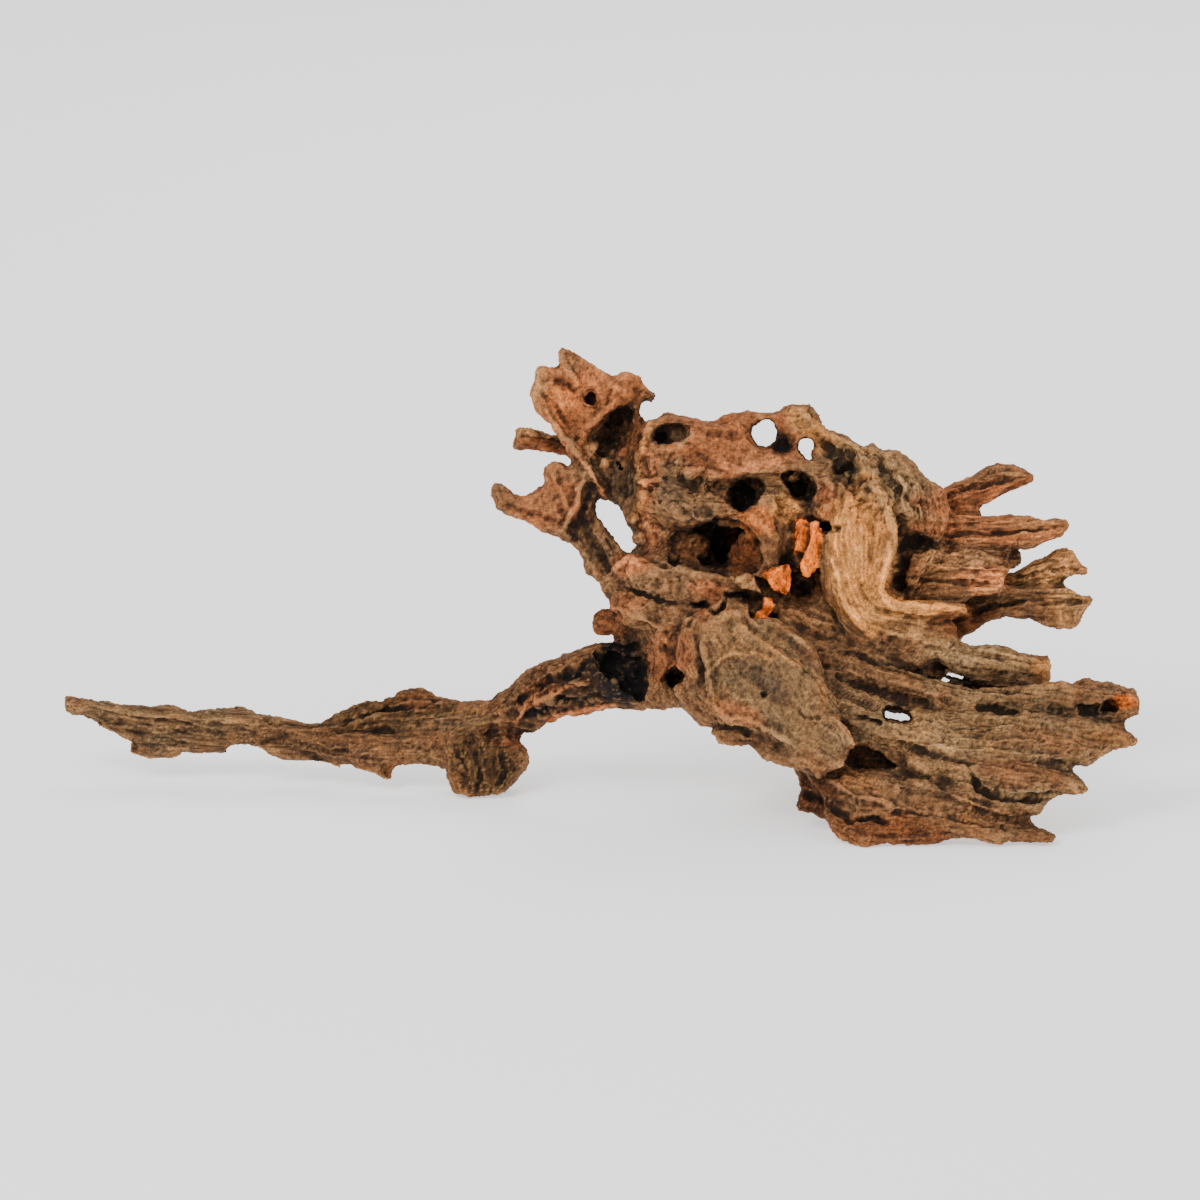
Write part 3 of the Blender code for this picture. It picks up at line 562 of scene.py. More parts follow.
# Carving of the front, region by region
CARVING: tuple[Stroke, ...] = (
    # Head plate: its pit, rims and the crisp edge that runs down to the gap
    Stroke(((-4, 80.5),), 5.0, -2.0),
    Stroke(((-22, 76), (-14, 64), (-8, 57), (-3, 49), (2, 41)), 1.5, 1.5),
    Stroke(((-8, 62), (-7, 67), (-2, 72), (3, 76), (6, 80)), 2.6, 0.8),
    Stroke(((2, 69), (8, 74), (14, 76)), 4.0, -2.4),
    Stroke(((-6, 50), (-9, 40), (-15, 27)), 2.0, 1.6),
    Stroke(((-3, 47), (-6, 37), (-11, 26)), 2.6, -1.8),
    Stroke(((-16, 98), (-12, 90), (-9, 85)), 2.6, 1.2),
    Stroke(((-20, 88), (-13, 86), (-8, 84)), 2.2, -1.2),
    Stroke(((2, 87), (8, 84), (14, 82)), 3.0, 1.0),
    Stroke(((-24, 83), (-18, 78), (-12, 70)), 1.6, -0.8),
    Stroke(((5, 66), (1, 60), (-2, 54)), 3.2, -2.2),
    Stroke(((-3, 63), (0, 57), (3, 50)), 3.6, 0.9),
    Stroke(((19.5, 72), (17, 62), (14, 50), (13, 41)), 2.2, 1.2),
    # Peg with its two ribs
    Stroke(((-31, 66), (-18, 64.5), (-10, 61)), 1.2, -1.0),
    # Prong
    Stroke(((-38, 39), (-28, 35), (-18, 32)), 1.8, -0.9),
    Stroke(((-19, 50), (-16, 42), (-12, 34)), 2.0, 0.9),
    # Diagonal limb
    Stroke(((-8, 36), (-2, 22), (6, 8)), 2.2, -1.2),
    Stroke(((-10, 28), (-4, 16), (0, 8)), 1.8, 0.9),
    # Crown: rims of the hollows, brow, cracks across the base
    Stroke(((22, 62), (26, 60), (34, 61)), 2.2, 1.2),
    Stroke(((26, 56), (30, 54)), 3.4, -1.6),
    Stroke(((38, 60), (44, 54), (50, 50)), 2.6, -1.2),
    Stroke(((34, 72), (44, 66), (56, 66)), 3.0, -1.2),
    Stroke(((40, 50), (50, 53), (62, 54), (74, 56), (86, 54)), 4.6, 1.3),
    Stroke(((22, 50), (24, 46)), 2.6, 1.4),
    Stroke(((30, 50), (38, 44)), 3.2, -1.4),
    Stroke(((30, 33), (40, 33), (52, 31), (58, 26)), 1.8, 1.3),
    Stroke(((28, 13), (38, 10), (50, 10)), 2.0, 1.2),
    Stroke(((10, 6), (16, 3), (22, 1), (30, -2)), 1.0, -1.8),
    Stroke(((36, -2.5), (42, -2.5), (46, -5.5), (49, -2), (50, 2), (58, 2)), 1.3, -2.8),
    Stroke(((38, -14), (39, -22), (40, -32)), 1.7, -2.6),
    Stroke(((6, 14), (12, 16), (17, 13)), 2.6, 1.6),
    Stroke(((18, 18), (26, 14), (34, 16)), 2.0, -1.2),
    Stroke(((4, -2), (14, -6), (26, -12)), 1.8, 1.2),
    Stroke(((24, -18), (30, -22), (34, -17)), 3.4, -1.8),
    Stroke(((35, -8.5),), 2.4, -2.2),
    Stroke(((58, 34), (64, 30), (69, 26)), 3.6, 1.4),
    Stroke(((74, 20), (76, 8), (84, 4)), 4.0, -2.2),
    Stroke(((64, -4), (78, -10), (92, -16)), 2.4, -1.2),
    Stroke(((60, 0), (76, -4), (92, -10)), 1.8, 0.9),
    Stroke(((60, -6), (74, -15), (86, -24)), 2.4, -0.7),
    # Post beside the right eye and the slot under it
    Stroke(((90, 50), (92, 42), (91, 34)), 3.0, 1.4),
    Stroke(((87, 28.7), (95, 28.3)), 1.8, -2.8),
    # Smooth fold: its long flutes and its right crest
    Stroke(((106, 50), (110, 46), (114, 38), (117, 28), (116, 18), (113, 9), (114, 1)), 3.2, 1.4),
    Stroke(((93, 16), (96, 2), (101, -7), (108, -14)), 2.0, 1.6),
    Stroke(((122, 22), (120.5, 14), (119, 7), (122, 3)), 3.0, -3.0),
    Stroke(((110, -4), (126, -8), (142, -8)), 2.0, -1.3),
    Stroke(((112, -12), (128, -16), (142, -18)), 1.8, 0.9),
    Stroke(((112, 0), (128, -2), (146, -4)), 1.8, 1.0),
    # Crumpled crest
    Stroke(((98, 60), (102, 53), (110, 47)), 3.0, -1.6),
    Stroke(((112, 57), (114, 51), (119, 44), (118, 38)), 2.2, -1.4),
    Stroke(((121, 52), (124, 47), (123, 41), (127, 34)), 2.2, -1.4),
    Stroke(((98, 50), (104, 46)), 5.0, -2.4),
    Stroke(((119, 30), (124, 25), (130, 23)), 3.6, -2.2),
    Stroke(((80, 76), (88, 68), (98, 63), (108, 59)), 2.2, 1.2),
    Stroke(((69, 60), (75, 63)), 4.0, -2.4),
    Stroke(((88, 64), (96, 58), (100, 50)), 1.8, -1.4),
    Stroke(((96, 52), (100, 44)), 4.0, -1.8),
    Stroke(((118, 44), (124, 40), (130, 38)), 1.4, -1.2),
    # Roots on the right
    Stroke(((134, 40), (150, 45), (168, 49)), 1.6, -1.2),
    Stroke(((140, 43), (156, 50), (170, 51)), 1.8, 0.9),
    Stroke(((132, 32), (156, 31), (184, 31)), 1.4, 0.9),
    Stroke(((130, 27), (156, 26), (182, 29)), 1.4, -1.2),
    Stroke(((126, 14), (146, 13), (162, 12)), 1.6, 1.0),
    Stroke(((124, 9), (142, 7), (158, 6)), 1.6, -1.3),
    Stroke(((166, 9), (180, 12), (194, 13)), 1.4, -0.9),
    Stroke(((150, -4), (170, 0), (192, -1)), 1.8, -1.0),
    Stroke(((142, -20), (160, -23), (178, -26)), 1.6, -1.0),
    Stroke(((140, -26), (158, -29), (176, -31)), 1.6, -1.0),
    # Leaf-shaped slab
    Stroke(((46, -8), (52, -5), (58, -6), (66, -14), (76, -22), (86, -30), (92, -40)), 2.6, 0.8),
    Stroke(((41, -16), (43, -28), (46, -42), (52, -49)), 1.8, 1.0),
    Stroke(((43, -29), (48, -23.5), (54, -21.5), (62, -21), (69, -24)), 1.4, 0.6),
    Stroke(((54, -27), (61, -31), (72, -37)), 7.0, -1.2),
    Stroke(((78, -45), (84, -47), (88, -46)), 1.1, -0.7),
    Stroke(((48, -36), (56, -39), (62, -40)), 1.4, 0.7),
    Stroke(((65, -38),), 2.2, -2.6),
    Stroke(((44, -50), (54, -51), (62, -54)), 1.4, -1.2),
    Stroke(((46, -46), (58, -47), (70, -53), (80, -60)), 1.6, 1.2),
    Stroke(((72, -62), (88, -70), (102, -78), (118, -82)), 2.0, 1.4),
    # Fan of roots
    Stroke(((96, -20), (112, -25), (130, -31), (150, -35), (172, -37)), 2.0, -2.0),
    Stroke(((96, -31), (112, -37), (134, -43)), 2.6, -1.8),
    Stroke(((102, -46), (112, -49)), 1.8, -2.4),
    Stroke(((150, -41.5), (158, -43.5), (168, -45)), 1.5, -2.2),
    Stroke(((88, -27), (110, -31), (134, -38)), 2.0, 0.8),
    Stroke(((130, -51), (150, -53), (176, -55)), 1.6, -0.8),
    Stroke(((106, -52), (130, -58), (160, -61), (190, -63)), 2.0, 0.8),
    Stroke(((118, -57), (134, -62), (148, -65)), 1.8, -0.9),
    Stroke(((146, -66), (151, -75), (160, -79), (180, -80)), 1.8, -2.2),
    Stroke(((140, -72), (160, -76), (186, -75)), 1.6, 1.0),
    Stroke(((120, -70), (140, -78), (164, -86)), 1.8, 1.4),
    Stroke(((100, -87), (110, -86.5), (114, -88)), 1.8, -2.6),
    Stroke(((116, -84), (140, -86), (164, -91)), 1.6, -1.4),
    Stroke(((96, -90), (112, -94), (130, -93)), 2.0, -0.9),
    Stroke(((80, -76), (92, -82), (100, -88)), 2.2, -1.6),
    Stroke(((190, -43), (200, -45)), 3.0, -2.2),
    # Neck, knob and branch
    Stroke(((-34, -41), (-26, -37), (-20, -32), (-8, -26)), 2.0, -1.8),
    Stroke(((-32, -47), (-22, -44), (-16, -39), (-8, -41), (0, -38)), 2.0, -2.2),
    Stroke(((-26, -40), (-18, -38), (-12, -33), (-4, -33)), 1.8, 1.6),
    Stroke(((-20, -48), (-12, -45), (-6, -44), (6, -42)), 1.6, 1.2),
    Stroke(((-16, -30), (-10, -31), (-6, -24)), 1.6, -1.6),
    Stroke(((-34, -50), (-30, -44), (-30, -40)), 1.6, 1.2),
    Stroke(((-104, -50), (-90, -45), (-76, -42)), 1.6, -1.4),
    Stroke(((-108, -53), (-96, -52), (-84, -52)), 1.8, -1.4),
    Stroke(((-96, -48), (-80, -47), (-62, -48)), 2.0, 0.7),
    Stroke(((-58, -60), (-54, -68), (-55, -76)), 1.8, -1.2),
    Stroke(((-50, -58), (-48, -70), (-49, -78)), 1.6, -1.0),
    Stroke(((-45, -52), (-42, -55)), 3.4, -2.2),
    Stroke(((-40, -60), (-38, -68), (-42, -76)), 1.8, -1.2),
    Stroke(((-200, -44), (-170, -47), (-140, -49), (-116, -55)), 2.0, 0.6),
    Stroke(((-180, -52), (-160, -53), (-144, -54)), 1.6, -0.5),
    Stroke(((-120, -58), (-106, -61), (-88, -64)), 1.6, -0.5),
)

# Depths over which the hidden back turns to rougher bark than the front's, how rough and how far
BACK_DEPTHS = (34.0, 52.0)
BACK_RELIEF = 1.5
BACK_SHARE = 0.8

# Kinds of relief, each over the ones before it
GROUNDS: tuple[Ground, ...] = (
    Ground(Relief.FIBROUS, (-150, -50), (80, 20)),
    Ground(Relief.BARK, (-84, -46), (24, 7), 4),
    Ground(Relief.BARK, (-46, -66), (14, 12)),
    Ground(Relief.GNARLED, (-12, -36), (30, 14), 22),
    Ground(Relief.GNARLED, (2, 62), (14, 12)),
    Ground(Relief.BARE, (-8, 82), (24, 17)),
    Ground(Relief.BARE, (-20, 42), (20, 14)),
    Ground(Relief.GNARLED, (18, 48), (7, 22)),
    Ground(Relief.BARE, (56, 62), (36, 12)),
    Ground(Relief.GNARLED, (32, 42), (14, 12)),
    Ground(Relief.BARE, (24, 10), (20, 8), -12),
    Ground(Relief.BARE, (66, 28), (10, 14)),
    Ground(Relief.GNARLED, (30, -2), (34, 12), -10),
    Ground(Relief.SMOOTH, (36, -22), (10, 9)),
    Ground(Relief.PLAIN, (78, -8), (26, 12), -30),
    Ground(Relief.GNARLED, (58, 18), (8, 10)),
    Ground(Relief.GNARLED, (35, 20), (8, 7)),
    Ground(Relief.SMOOTH, (104, 16), (16, 34)),
    Ground(Relief.SMOOTH, (122, -8), (26, 8), -10),
    Ground(Relief.GNARLED, (114, 46), (26, 16), -40),
    Ground(Relief.BARE, (66, -31), (42, 22), -50),
    Ground(Relief.FIBROUS, (158, 34), (40, 24)),
    Ground(Relief.FIBROUS, (160, 4), (44, 14)),
    Ground(Relief.PLATED, (152, -60), (66, 38), -14),
    Ground(Relief.PLAIN, (112, -86), (28, 14)),
)

# Stains, and painted shade in the hollows and creases, in the order in which they lie over each other
PATCHES: tuple[Patch, ...] = (
    # Branch, knob and neck
    Patch(Tone.ASH, (-172, -50), (52, 14), -3, 0.9, 0.58),
    Patch(Tone.GREY, (-150, -58), (30, 5), -2, 0.6, 0.56),
    Patch(Tone.BROWN, (-110, -58), (24, 8), -10, 0.9, 0.6),
    Patch(Tone.MOSS, (-84, -46), (28, 9), 4),
    Patch(Tone.RUST, (-72, -41), (8, 4), 0, 0.6, 0.8),
    Patch(Tone.ASH, (-60, -49), (24, 3.5), 2, 0.6, 0.75),
    Patch(Tone.MOSS, (-46, -64), (16, 15), 0, 0.9, 0.85),
    Patch(Tone.UMBER, (-44, -53), (5, 4), 0, 0.9, 1.6),
    Patch(Tone.RUST, (-34, -56), (5, 4), 0, 0.9, 0.55),
    Patch(Tone.UMBER, (-14, -38), (30, 12), 22, 0.9, 0.6),
    Patch(Tone.EARTH, (-26, -38), (12, 4), 30, 0.7, 0.6),
    Patch(Tone.HOLLOW_SHADE, (9, -28), (13, 14), 0, 0.98, 0.6),
    # Upper left
    Patch(Tone.HEART, (-6, 84), (26, 18), 0, 0.9, 1.1),
    Patch(Tone.PEACH, (-16, 80), (8, 9), 20, 0.6),
    Patch(Tone.STRAW, (-26, 86), (5, 9), 0, 0.7),
    Patch(Tone.STRAW, (-22, 72), (4, 7), 30, 0.6),
    Patch(Tone.BROWN, (-11, 96), (6, 7), -40, 0.8),
    Patch(Tone.EARTH, (-15, 88), (5, 2.6), -20, 0.7),
    Patch(Tone.UMBER, (9, 71), (14, 11), 35, 0.95, 2.3),
    Patch(Tone.UMBER, (10, 58), (7, 10), 0, 0.9, 2.2),
    Patch(Tone.HOLLOW_SHADE, (4, 65), (5, 5), 0, 0.5, 1.2),
    Patch(Tone.GREY, (0, 58), (4.6, 6), 20, 0.8, 2.8),
    Patch(Tone.RUST, (9, 59), (2.4, 2.4), 0, 0.7, 1.4),
    Patch(Tone.GREY, (8, 47), (8, 10), 0, 0.9, 0.75),
    Patch(Tone.STRAW, (-26, 67), (9, 3.4), -6, 0.9, 0.9),
    Patch(Tone.RUST, (-20, 61), (14, 3.6), -14, 0.9, 1.1),
    Patch(Tone.HEART, (-22, 40), (18, 13), 0, 0.9, 0.85),
    Patch(Tone.BROWN, (-15, 51), (8, 4), 0, 0.7, 1.2),
    Patch(Tone.BROWN, (-38, 40), (8, 6), 0, 0.7),
    Patch(Tone.UMBER, (-3, 38), (5, 14), -20, 0.95, 0.6),
    Patch(Tone.UMBER, (-9, 28), (5, 6), -20, 0.9, 0.5),
    Patch(Tone.GREY, (-1, 20), (8, 10), 20, 0.9, 0.8),
    Patch(Tone.GREY, (2, 12), (4, 4), 0, 0.6, 2.2),
    # Crown
    Patch(Tone.HEART, (54, 64), (37, 16), 4, 0.9, 0.86),
    Patch(Tone.HEART, (20, 42), (4.6, 23), 0, 0.9, 1.1),
    Patch(Tone.GREY, (34, 40), (16, 11), 20, 0.85),
    Patch(Tone.SLATE, (30, 46), (8, 6), 0, 0.6),
    Patch(Tone.ASH, (30, 54), (5, 3), 10, 0.6),
    Patch(Tone.HOLLOW_SHADE, (25, 65.5), (6, 4.6), 0, 0.95, 2.4),
    Patch(Tone.SLATE, (32, 66.5), (3.6, 4), 0, 0.9, 3.2),
    Patch(Tone.UMBER, (46, 21), (20, 12), 0, 0.95, 1.1),
    Patch(Tone.UMBER, (34, 21), (9, 7), 0, 0.9, 2.4),
    Patch(Tone.EARTH, (57, 18), (8, 9), 20, 0.9, 1.3),
    Patch(Tone.HOLLOW_SHADE, (47, 23), (3.6, 11), 16, 0.95, 0.8),
    Patch(Tone.GREY, (28, 8), (18, 8), -12, 0.9, 1.1),
    Patch(Tone.HEART, (44, 4), (9, 4), -10, 0.7, 1.2),
    Patch(Tone.HEART, (12, 14), (8, 4.4), 0, 0.9, 1.2),
    Patch(Tone.BROWN, (20, -6), (20, 8), -12, 0.9, 1.35),
    Patch(Tone.HEART, (10, -1), (8, 4), 0, 0.7, 0.72),
    Patch(Tone.EARTH, (2, -9), (9, 7)),
    Patch(Tone.HEART, (28, -22), (9, 12), 0, 0.8, 0.65),
    Patch(Tone.HEART, (46, -7), (7, 6), 0, 0.8),
    Patch(Tone.GREY, (69, 46), (20, 7), 6, 0.8, 1.9),
    Patch(Tone.PEACH, (63, 31), (8, 6), -10, 0.85, 0.85),
    Patch(Tone.TAN, (74, 36), (6, 7), 0, 0.7, 1.0),
    Patch(Tone.BROWN, (84, 0), (22, 12), -25, 0.9, 1.9),
    Patch(Tone.UMBER, (82, 6), (9, 8), 0, 0.9, 2.2),
    Patch(Tone.BROWN, (72, -12), (26, 9), -30, 0.9, 1.35),
    Patch(Tone.UMBER, (72, 62.5), (6, 5.6), -20, 0.95, 0.6),
    Patch(Tone.RUST, (92, 40), (6, 11), 0, 0.9, 0.7),
    Patch(Tone.TAN, (84, 68), (13, 4), -42, 0.8, 0.65),
    Patch(Tone.BROWN, (86, 75), (5, 4), 0, 0.7, 0.7),
    # Crumpled crest and smooth fold
    Patch(Tone.ASH, (114, 46), (26, 18), -35, 0.9, 1.1),
    Patch(Tone.SLATE, (98, 48), (7, 10), 30, 0.8, 0.7),
    Patch(Tone.ASH, (124, 40), (12, 12), 0, 0.7, 1.2),
    Patch(Tone.TAN, (103, 20), (14, 27), 4),
    Patch(Tone.TAN, (118, -6), (28, 7), -8),
    Patch(Tone.ASH, (128, -12), (16, 5), -10, 0.8, 1.2),
    Patch(Tone.ASH, (152, -24), (32, 8), -12, 0.9, 1.4),
    Patch(Tone.TAN, (177, -29), (5, 6), 0, 0.8, 0.7),
    # Roots on the right
    Patch(Tone.RUST, (150, 43), (24, 9), 16, 0.9, 1.2),
    Patch(Tone.BROWN, (158, 50), (14, 4), 12, 0.8, 1.4),
    Patch(Tone.HEART, (156, 29), (34, 7), 0, 0.9, 1.05),
    Patch(Tone.STRAW, (176, 31), (14, 4), 0, 0.5, 0.72),
    Patch(Tone.BROWN, (138, 12), (22, 10), 0, 0.9, 2.2),
    Patch(Tone.HEART, (154, 8), (12, 6), 0, 0.9, 2.1),
    Patch(Tone.HOLLOW_SHADE, (126, 23), (14, 4.4), 0, 0.6, 1.0),
    Patch(Tone.HOLLOW_SHADE, (119.5, 9), (3.6, 7), 0, 0.4, 1.0),
    Patch(Tone.UMBER, (165, 17), (5, 5), 0, 0.9),
    Patch(Tone.STRAW, (180, 12), (18, 7), 18, 0.9, 1.5),
    Patch(Tone.BROWN, (168, -2), (16, 8), 0, 0.9, 1.0),
    Patch(Tone.STRAW, (188, -2), (10, 8), 0, 0.8, 1.1),
    Patch(Tone.EARTH, (146, -9), (14, 7)),
    # Leaf-shaped slab
    Patch(Tone.ASH, (68, -34), (34, 20), -50, 0.9, 0.86),
    Patch(Tone.STRAW, (50, -12), (9, 8), 0, 0.6, 0.8),
    Patch(Tone.ASH, (78, -26), (16, 4), -40, 0.6, 0.5),
    Patch(Tone.SLATE, (58, -27), (8, 4.4), -10, 0.6, 0.8),
    Patch(Tone.SLATE, (68, -33), (9, 6), -40, 0.7),
    Patch(Tone.HEART, (56, -45), (12, 4), -20, 0.7, 0.78),
    Patch(Tone.BROWN, (60, -56), (16, 4), -15, 0.8, 0.55),
    Patch(Tone.ASH, (88, -56), (12, 7), -50, 0.7, 1.05),
    # Fan of roots
    Patch(Tone.ASH, (150, -54), (64, 26), -14, 0.9, 0.85),
    Patch(Tone.BROWN, (112, -32), (26, 7), -20, 0.9, 1.15),
    Patch(Tone.RUST, (174, -56), (22, 5), -5, 0.35, 0.7),
    Patch(Tone.RUST, (164, -68), (20, 6), -12, 0.6, 0.8),
    Patch(Tone.ASH, (130, -52), (18, 6), -20, 0.7, 1.4),
    Patch(Tone.ASH, (156, -60), (14, 4), -4, 0.7, 1.1),
    Patch(Tone.SLATE, (136, -74), (6, 4), 0, 0.7, 1.3),
    Patch(Tone.EARTH, (116, -92), (24, 7), -4, 0.9, 0.9),
    Patch(Tone.EARTH, (86, -78), (12, 11), 0, 0.9, 0.42),
    Patch(Tone.BROWN, (104, -72), (16, 6), -20, 0.8, 1.8),
    Patch(Tone.BROWN, (172, -92), (12, 5), -16, 0.7, 0.5),
    Patch(Tone.UMBER, (108, -63), (12, 5), -10, 0.9, 1.6),
    Patch(Tone.HOLLOW_SHADE, (57, 42), (6, 7), 0, 0.95, 0.8),
    Patch(Tone.STRAW, (77.6, 48.6), (2, 1.3), 0, 0.9, 1.8),
    Patch(Tone.HOLLOW_SHADE, (80, 45), (6, 5), -20, 0.8),
    Patch(Tone.TORN, (208, -41), (5, 3), 0, 0.8, 0.8),
    Patch(Tone.HOLLOW_SHADE, (198, -46), (7, 3), 0, 0.5),
    Patch(Tone.STRAW, (204, -55), (12, 3), -8, 0.8, 0.6),
    Patch(Tone.STRAW, (59, 6), (8, 3), -28, 0.9, 1.1),
)

# Tones laid as painted shade in the hollows, kept where the wood faces the camera and faded out where it
# faces the back; the umber is also a dark wood tone
PAINTED_SHADE_TONES = (Tone.HOLLOW_SHADE, Tone.UMBER)

# Pale edges and ridges, and painted shade along cracks and seams
VEINS: tuple[Vein, ...] = (
    Vein(Tone.HEART, ((-22, 74), (-14, 63.5), (-8, 57), (-3, 49.5), (2, 41)), 0.8, 0.8),
    Vein(Tone.HEART, ((-8, 62), (-7, 67), (-2, 72), (3, 76), (6, 80)), 1.4, 0.6),
    Vein(Tone.STRAW, ((80, 76), (88, 68), (98, 63), (108, 59)), 1.4, 0.6),
    Vein(Tone.UMBER, ((-6, 57), (-1, 50), (4, 42)), 1.0, 0.6),
    Vein(Tone.TAN, ((106, 50), (111, 46), (115, 38), (118, 28), (117, 18), (114, 9), (114, 2)), 1.6, 0.35),
    Vein(Tone.TAN, ((114, 2), (120, -0.5), (132, -1.5), (147, -4)), 1.5, 0.8),
    Vein(Tone.TAN, ((93, 16), (96, 2), (101, -7), (108, -14)), 1.6, 0.8),
    Vein(Tone.STRAW, ((43, -29), (48, -23.5), (54, -21.5), (62, -21), (69, -24)), 0.9, 0.5),
    Vein(Tone.STRAW, ((56, -9), (66, -18), (76, -24), (85, -29), (90, -40), (97, -51), (102, -58)),
         1.0, 0.7),
    Vein(Tone.HOLLOW_SHADE, ((65, -37),), 2.0, 0.7),
    Vein(Tone.UMBER, ((14, 4), (22, 1), (28, -1.5), (34, -1)), 1.0, 0.8),
    Vein(Tone.HOLLOW_SHADE, ((37, -2.5), (43, -2.5), (46, -5.5), (49, -2), (50, 2), (58, 2)), 0.9, 0.8),
    Vein(Tone.UMBER, ((38, -14), (39, -22), (40, -32)), 0.9, 0.7),
    Vein(Tone.TAN, ((20, 70), (18, 62), (16, 52), (17, 42), (14, 32)), 1.2, 0.45),
    Vein(Tone.HEART, ((-32, -44), (-24, -40), (-14, -35), (-4, -32)), 1.0, 0.7),
    Vein(Tone.HEART, ((-22, -48), (-10, -45), (6, -42)), 1.0, 0.7),
    Vein(Tone.HEART, ((-34, -50), (-30, -42), (-22, -33)), 0.9, 0.6),
    Vein(Tone.HOLLOW_SHADE, ((-30, -47), (-22, -43), (-16, -39), (-6, -40)), 1.2, 0.7),
    Vein(Tone.HOLLOW_SHADE, ((-14, -31), (-8, -29), (-4, -24)), 1.2, 0.7),
)


@dataclass
class Surface:
    """The numbers of a mesh that the carving works on."""

    mesh: bpy.types.Mesh
    points: np.ndarray = field(init=False)
    normals: np.ndarray = field(init=False)
    edges: np.ndarray = field(init=False)
    valence: np.ndarray = field(init=False)

    def __post_init__(self) -> None:
        """Reads the mesh."""
        self.read()
        edges = np.empty(len(self.mesh.edges) * 2, dtype=np.int64)
        self.mesh.edges.foreach_get("vertices", edges)
        self.edges = edges.reshape(-1, 2)
        self.valence = np.bincount(self.edges.ravel(), minlength=len(self.points)).astype(float)

    def read(self) -> None:
        """Reads the places and normals of the points."""
        count = len(self.mesh.vertices)
        points = np.empty(count * 3)
        self.mesh.vertices.foreach_get("co", points)
        normals = np.empty(count * 3)
        self.mesh.vertices.foreach_get("normal", normals)
        self.points = points.reshape(-1, 3)
        self.normals = normals.reshape(-1, 3)

    def push(self, offsets: np.ndarray) -> None:
        """Moves each point by its offset in metres."""
        self.mesh.vertices.foreach_set("co", (self.points + offsets).ravel())
        self.mesh.update()
        self.read()

    def step(self, values: np.ndarray, share: float) -> np.ndarray:
        """Moves values towards the mean of their neighbours, or away for a negative share."""
        first, second = self.edges.T
        moved = np.empty_like(values)
        for index in range(values.shape[1]):
            column = values[:, index]
            total = np.bincount(first, column[second], minlength=len(column))
            total += np.bincount(second, column[first], minlength=len(column))
            moved[:, index] = column + share * (total / self.valence - column)
        return moved

    def soften(self, values: np.ndarray, repeats: int) -> np.ndarray:
        """Averages values, one or more a point, with those of its neighbours.

        Args:
            values: an array with one row a point.
            repeats: how often each point takes the mean of itself and its neighbours.

        Returns:
            The softened values, in the same shape.
        """
        columns = values.reshape(len(values), -1)
        for _ in range(repeats):
            columns = self.step(columns, 0.5)
        return columns.reshape(values.shape)

    def store(self, name: str, values: np.ndarray) -> None:
        """Keeps values, one number or one colour a point, as an attribute of the mesh."""
        if values.ndim == 1:
            layer = self.mesh.attributes.new(name, "FLOAT", "POINT")
            layer.data.foreach_set("value", values.astype(np.float32))
            return
        colour = np.ones((len(values), 4), dtype=np.float32)
        colour[:, :3] = values
        layer = self.mesh.attributes.new(name, "FLOAT_COLOR", "POINT")
        layer.data.foreach_set("color", colour.ravel())


class NodeSheet:
    """A short way to lay out a material's nodes."""

    def __init__(self, material: bpy.types.Material) -> None:
        """Opens the material's node tree and keeps its shader."""
        material.use_nodes = True
        self.tree = material.node_tree
        self.shader = self.tree.nodes["Principled BSDF"]

    def node(self, kind: str, **settings: object) -> bpy.types.Node:
        """A new node with the settings given as attributes."""
        made = self.tree.nodes.new(kind)
        for name, value in settings.items():
            setattr(made, name, value)
        return made

    def feed(self, socket: bpy.types.NodeSocket, source: object) -> None:
        """Links a source socket, or sets a number or colour."""
        if isinstance(source, bpy.types.NodeSocket):
            self.tree.links.new(source, socket)
        else:
            socket.default_value = source

    def maths(self, operation: str, *sources: object) -> bpy.types.NodeSocket:
        """The result of a Math node."""
        made = self.node("ShaderNodeMath", operation=operation)
        for socket, source in zip(made.inputs, sources):
            self.feed(socket, source)
        return made.outputs[0]

    def spread(
        self, value: object, low: float, high: float, to_low: float, to_high: float
    ) -> bpy.types.NodeSocket:
        """A Map Range node's clamped result."""
        made = self.node("ShaderNodeMapRange", interpolation_type="SMOOTHSTEP")
        for socket, source in zip(made.inputs, (value, low, high, to_low, to_high)):
            self.feed(socket, source)
        return made.outputs[0]

    def blend(self, mode: str, share: object, under: object, over: object) -> bpy.types.NodeSocket:
        """A colour Mix node's result."""
        made = self.node("ShaderNodeMix", data_type="RGBA", blend_type=mode)
        self.feed(made.inputs["Factor"], share)
        self.feed(made.inputs[6], under)
        self.feed(made.inputs[7], over)
        return made.outputs[2]


